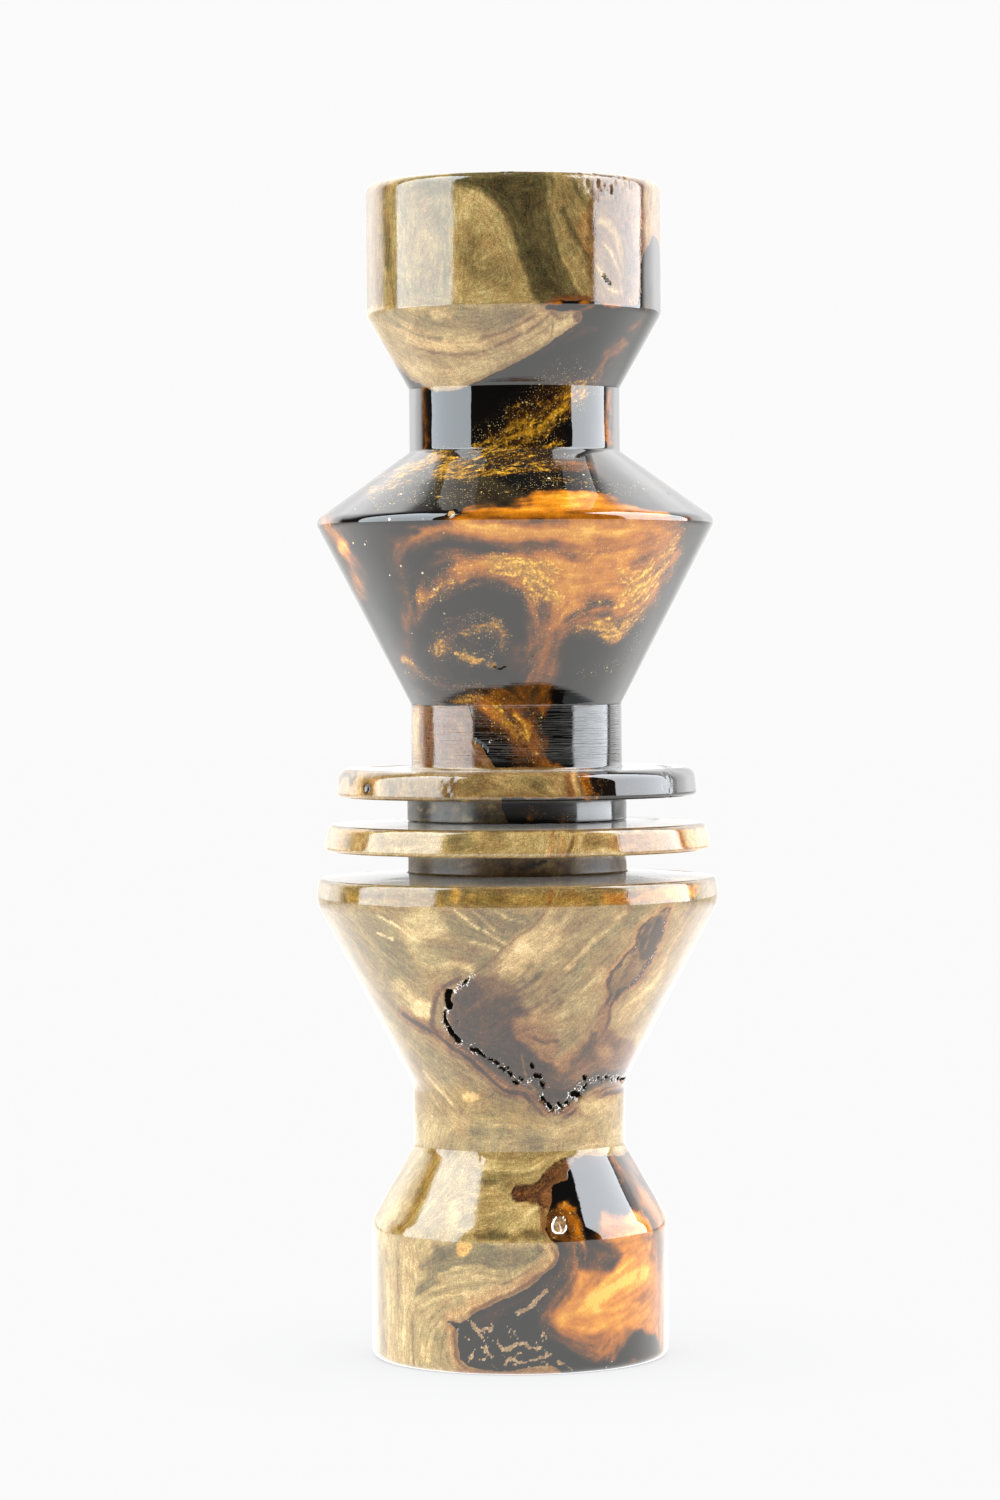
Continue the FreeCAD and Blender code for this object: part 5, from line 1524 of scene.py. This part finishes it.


# ---- reeds: thin film sheets ----------------------------------------------------------


def reed(name, node, z_tip, y_face, thick, dimple):
    """Film strip with enough rows to bend smoothly; its tail stays under the wedge."""
    lo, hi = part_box(node)
    half = 6.35
    z0 = 62.9
    rows = 64
    cols = 25
    trim, soft = 2.6, 1.6
    zs = np.linspace(z0, z_tip, rows)
    # denser rows at the trimmed tip
    zs = np.unique(np.concatenate([zs, np.linspace(z_tip - 3.4, z_tip, 18)]))

    def half_width(z):
        d = z_tip - z
        if d >= trim + soft:
            return half
        # a chamfer with both of its corners rounded off
        w = half - max(0.0, trim - d)
        k = 0.62
        a = (d - trim) / k
        w = half - k * math.log1p(math.exp(-a)) if a > -30 else w
        if d < 0.55:
            w -= 0.9 * (1 - math.sqrt(max(0.0, 1 - (1 - d / 0.55) ** 2)))
        return max(w, 0.2)

    verts, faces = [], []
    s = np.linspace(-1, 1, cols)
    for side in (0, 1):
        for z in zs:
            w = half_width(z)
            for q in s:
                x = q * w
                y = y_face - (thick if side else 0.0)
                if dimple and side:
                    r = math.hypot(x, z - (z_tip - 5.5))
                    y += 0.2 * max(0.0, 1 - (r / 1.0) ** 2)
                verts.append((x * MM, y * MM, z * MM))
    R = len(zs)

    def at(side, i, j):
        return side * R * cols + i * cols + j

    for i in range(R - 1):
        for j in range(cols - 1):
            faces.append((at(0, i, j), at(0, i + 1, j), at(0, i + 1, j + 1), at(0, i, j + 1)))
            faces.append((at(1, i, j), at(1, i, j + 1), at(1, i + 1, j + 1), at(1, i + 1, j)))
        faces.append((at(0, i, 0), at(1, i, 0), at(1, i + 1, 0), at(0, i + 1, 0)))
        faces.append((at(0, i, cols - 1), at(0, i + 1, cols - 1), at(1, i + 1, cols - 1), at(1, i, cols - 1)))
    for j in range(cols - 1):
        faces.append((at(0, 0, j), at(0, 0, j + 1), at(1, 0, j + 1), at(1, 0, j)))
        faces.append((at(0, R - 1, j), at(1, R - 1, j), at(1, R - 1, j + 1), at(0, R - 1, j + 1)))
    mesh = bpy.data.meshes.new(name)
    mesh.from_pydata(verts, [], faces)
    mesh.update()
    obj = bpy.data.objects.new(name, mesh)
    bpy.context.scene.collection.objects.link(obj)
    obj.data.materials.append(film)
    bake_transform(obj)
    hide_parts(node)
    return obj


reed("reed_film_long", "reed_long", 94.3, -0.61, 0.25, False)
reed("reed_film_short", "reed_short", 89.6, -0.87, 0.35, True)

# ======================================================================================
# stage: white sweep, two tall strip lights, dark front
# ======================================================================================

PAPER = 0.958          # what the camera sees
GLOW = 2.7             # what the object sees


def stage_mesh(name, verts, faces):
    mesh = bpy.data.meshes.new(name)
    mesh.from_pydata(verts, [], faces)
    mesh.update()
    o = bpy.data.objects.new(name, mesh)
    bpy.context.scene.collection.objects.link(o)
    return o


floor = stage_mesh("floor", [(-1.4, -0.55, 0), (1.4, -0.55, 0), (1.4, 2.2, 0), (-1.4, 2.2, 0)], [(0, 1, 2, 3)])
floor.location.z = -0.00002
g = Nodes("floor_paper")
# painted contact shadow: the floor the camera sees is an emission, darkened by ambient occlusion close to the object
ao = g.node("ShaderNodeAmbientOcclusion", samples=8)
ao.inputs["Distance"].default_value = 0.030
shade = g.ramp(ao.outputs["AO"], [(0.0, (0.60, 0.60, 0.62)), (0.35, (0.80, 0.80, 0.81)), (0.60, (0.905, 0.905, 0.91)), (0.85, (0.945, 0.945, 0.948)), (1.0, (PAPER, PAPER, PAPER))])
paper_n = g.noise(g.coords(), 2.0, 3.0)
lp = g.node("ShaderNodeLightPath")
seen = g.node("ShaderNodeEmission")
g.set(seen.inputs["Color"], shade)
lit = g.node("ShaderNodeEmission")
lit.inputs["Color"].default_value = (1.0, 0.995, 0.985, 1)
fp = g.node("ShaderNodeSeparateXYZ")
g.set(fp.inputs[0], g.coords(1.0))
far = g.step(fp.outputs[1], 0.02, 0.30)
g.set(lit.inputs["Strength"], g.math("SUBTRACT", GLOW, g.mul(g.mul(far, lp.outputs["Is Glossy Ray"]), 1.5)))
mixer = g.node("ShaderNodeMixShader")
g.t.links.new(lp.outputs["Is Camera Ray"], mixer.inputs[0])
g.t.links.new(lit.outputs[0], mixer.inputs[1])
g.t.links.new(seen.outputs[0], mixer.inputs[2])
g.t.links.new(mixer.outputs[0], g.out.inputs[0])
floor.data.materials.append(g.mat)

# world: white behind and overhead, dark on the camera's side, plain white to the camera
world = bpy.data.worlds.new("studio")
bpy.context.scene.world = world
world.use_nodes = True
wt = world.node_tree
wt.nodes.clear()
w_out = wt.nodes.new("ShaderNodeOutputWorld")
w_cam = wt.nodes.new("ShaderNodeBackground")
w_cam.inputs[0].default_value = (0.962, 0.962, 0.962, 1)
w_lit = wt.nodes.new("ShaderNodeBackground")
w_mix = wt.nodes.new("ShaderNodeMixShader")
w_lp = wt.nodes.new("ShaderNodeLightPath")
w_tc = wt.nodes.new("ShaderNodeTexCoord")
w_sep = wt.nodes.new("ShaderNodeSeparateXYZ")
wt.links.new(w_tc.outputs["Generated"], w_sep.inputs[0])


def wmath(op, a, b=0.0):
    n = wt.nodes.new("ShaderNodeMath")
    n.operation = op
    for s, v in ((n.inputs[0], a), (n.inputs[1], b)):
        if isinstance(v, (int, float)):
            s.default_value = v
        else:
            wt.links.new(v, s)
    return n.outputs[0]


def wstep(x, lo, hi):
    n = wt.nodes.new("ShaderNodeMapRange")
    n.interpolation_type = "SMOOTHSTEP"
    wt.links.new(x, n.inputs["Value"])
    n.inputs["From Min"].default_value = lo
    n.inputs["From Max"].default_value = hi
    return n.outputs["Result"]


Y, Z = w_sep.outputs["Y"], w_sep.outputs["Z"]
# light that falls on the object: white behind and above
matt = wmath("MAXIMUM", wmath("MULTIPLY", wstep(Y, 0.46, 0.62), 2.3), wmath("MULTIPLY", wstep(Z, 0.45, 0.75), 3.4))
# what the finish mirrors: a back wall, brighter from 20 to 50 degrees up, dark overhead and in front
wall = wmath("SUBTRACT", 3.1, wmath("MULTIPLY", wstep(Y, 0.76, 1.0), 1.9))
high = wmath("MULTIPLY", wmath("MULTIPLY", wstep(Z, 0.15, 0.50), wmath("SUBTRACT", 1.0, wstep(Z, 0.56, 0.90))), wstep(Y, 0.30, 0.55))
wall = wmath("MULTIPLY", wall, wmath("MULTIPLY", wstep(Y, 0.46, 0.60), wmath("SUBTRACT", 1.0, wstep(Z, 0.74, 0.86))))
mirror = wmath("MAXIMUM", wmath("MAXIMUM", wall, wmath("MULTIPLY", high, 2.9)), 0.02)
is_gloss = w_lp.outputs["Is Glossy Ray"]
level = wmath("ADD", wmath("MULTIPLY", matt, wmath("SUBTRACT", 1.0, is_gloss)), wmath("MULTIPLY", mirror, is_gloss))
w_lit.inputs[0].default_value = (1, 1, 1, 1)
wt.links.new(level, w_lit.inputs[1])
wt.links.new(w_lp.outputs["Is Camera Ray"], w_mix.inputs[0])
wt.links.new(w_lit.outputs[0], w_mix.inputs[1])
wt.links.new(w_cam.outputs[0], w_mix.inputs[2])
wt.links.new(w_mix.outputs[0], w_out.inputs[0])


def strip(name, az_lo, az_hi, side, distance, height, radiance, color):
    """Upright rectangle seen from the object between two azimuths off the camera's side."""
    a = math.radians((az_lo + az_hi) / 2)
    half = math.radians((az_hi - az_lo) / 2)
    width = 2 * distance * math.tan(half)
    data = bpy.data.lights.new(name, "AREA")
    data.shape = "RECTANGLE"
    data.size, data.size_y = width, height
    data.color = color
    # a lamp's watts are its radiance times pi times its area
    data.energy = radiance * math.pi * width * height
    o = bpy.data.objects.new(name, data)
    bpy.context.scene.collection.objects.link(o)
    x = side * math.sin(a) * distance
    y = -math.cos(a) * distance
    o.location = (x, y, height / 2 + 0.0)
    from_dir = (x, y, 0.0)
    yaw = math.atan2(from_dir[1], from_dir[0])
    # the lamp shines along its own -Z, towards the axis
    o.rotation_euler = (math.radians(90), 0, yaw + math.radians(90))
    o.visible_camera = False
    # brighter towards the top of the strip
    data.use_nodes = True
    lt = data.node_tree
    em = next(k for k in lt.nodes if k.type == "EMISSION")
    geo = lt.nodes.new("ShaderNodeNewGeometry")
    pos = lt.nodes.new("ShaderNodeSeparateXYZ")
    lt.links.new(geo.outputs["Position"], pos.inputs[0])
    rise = lt.nodes.new("ShaderNodeMapRange")
    lt.links.new(pos.outputs["Z"], rise.inputs["Value"])
    rise.inputs["From Min"].default_value = 0.25
    rise.inputs["From Max"].default_value = height
    rise.inputs["To Min"].default_value = 1.0
    rise.inputs["To Max"].default_value = 1.5
    lt.links.new(rise.outputs["Result"], em.inputs["Strength"])
    return o


strip("strip_left", 48, 102, -1, 0.70, 1.45, 8.3, (0.86, 0.94, 1.0))
strip("strip_right", 65, 116, 1, 0.70, 1.45, 9.6, (0.92, 0.955, 1.0))

cam_data = bpy.data.cameras.new("camera")
cam = bpy.data.objects.new("camera", cam_data)
bpy.context.scene.collection.objects.link(cam)
bpy.context.scene.camera = cam
cam_data.sensor_fit = "AUTO"
cam_data.sensor_width = 36.0
cam_data.lens = FOCAL / 1500 * 36.0
cam_data.shift_y = -(750 - 630) / 1500
cam_data.clip_start, cam_data.clip_end = 0.01, 20
cam.location = (EYE_X * MM, -EYE_DIST * MM, EYE_Z * MM)
cam.rotation_mode = "XYZ"
cam.rotation_euler = (math.radians(90), ROLL, 0)

scene = bpy.context.scene
scene.view_settings.view_transform = "Standard"
scene.view_settings.look = "None"
scene.view_settings.exposure = 0.0
scene.view_settings.gamma = 1.0
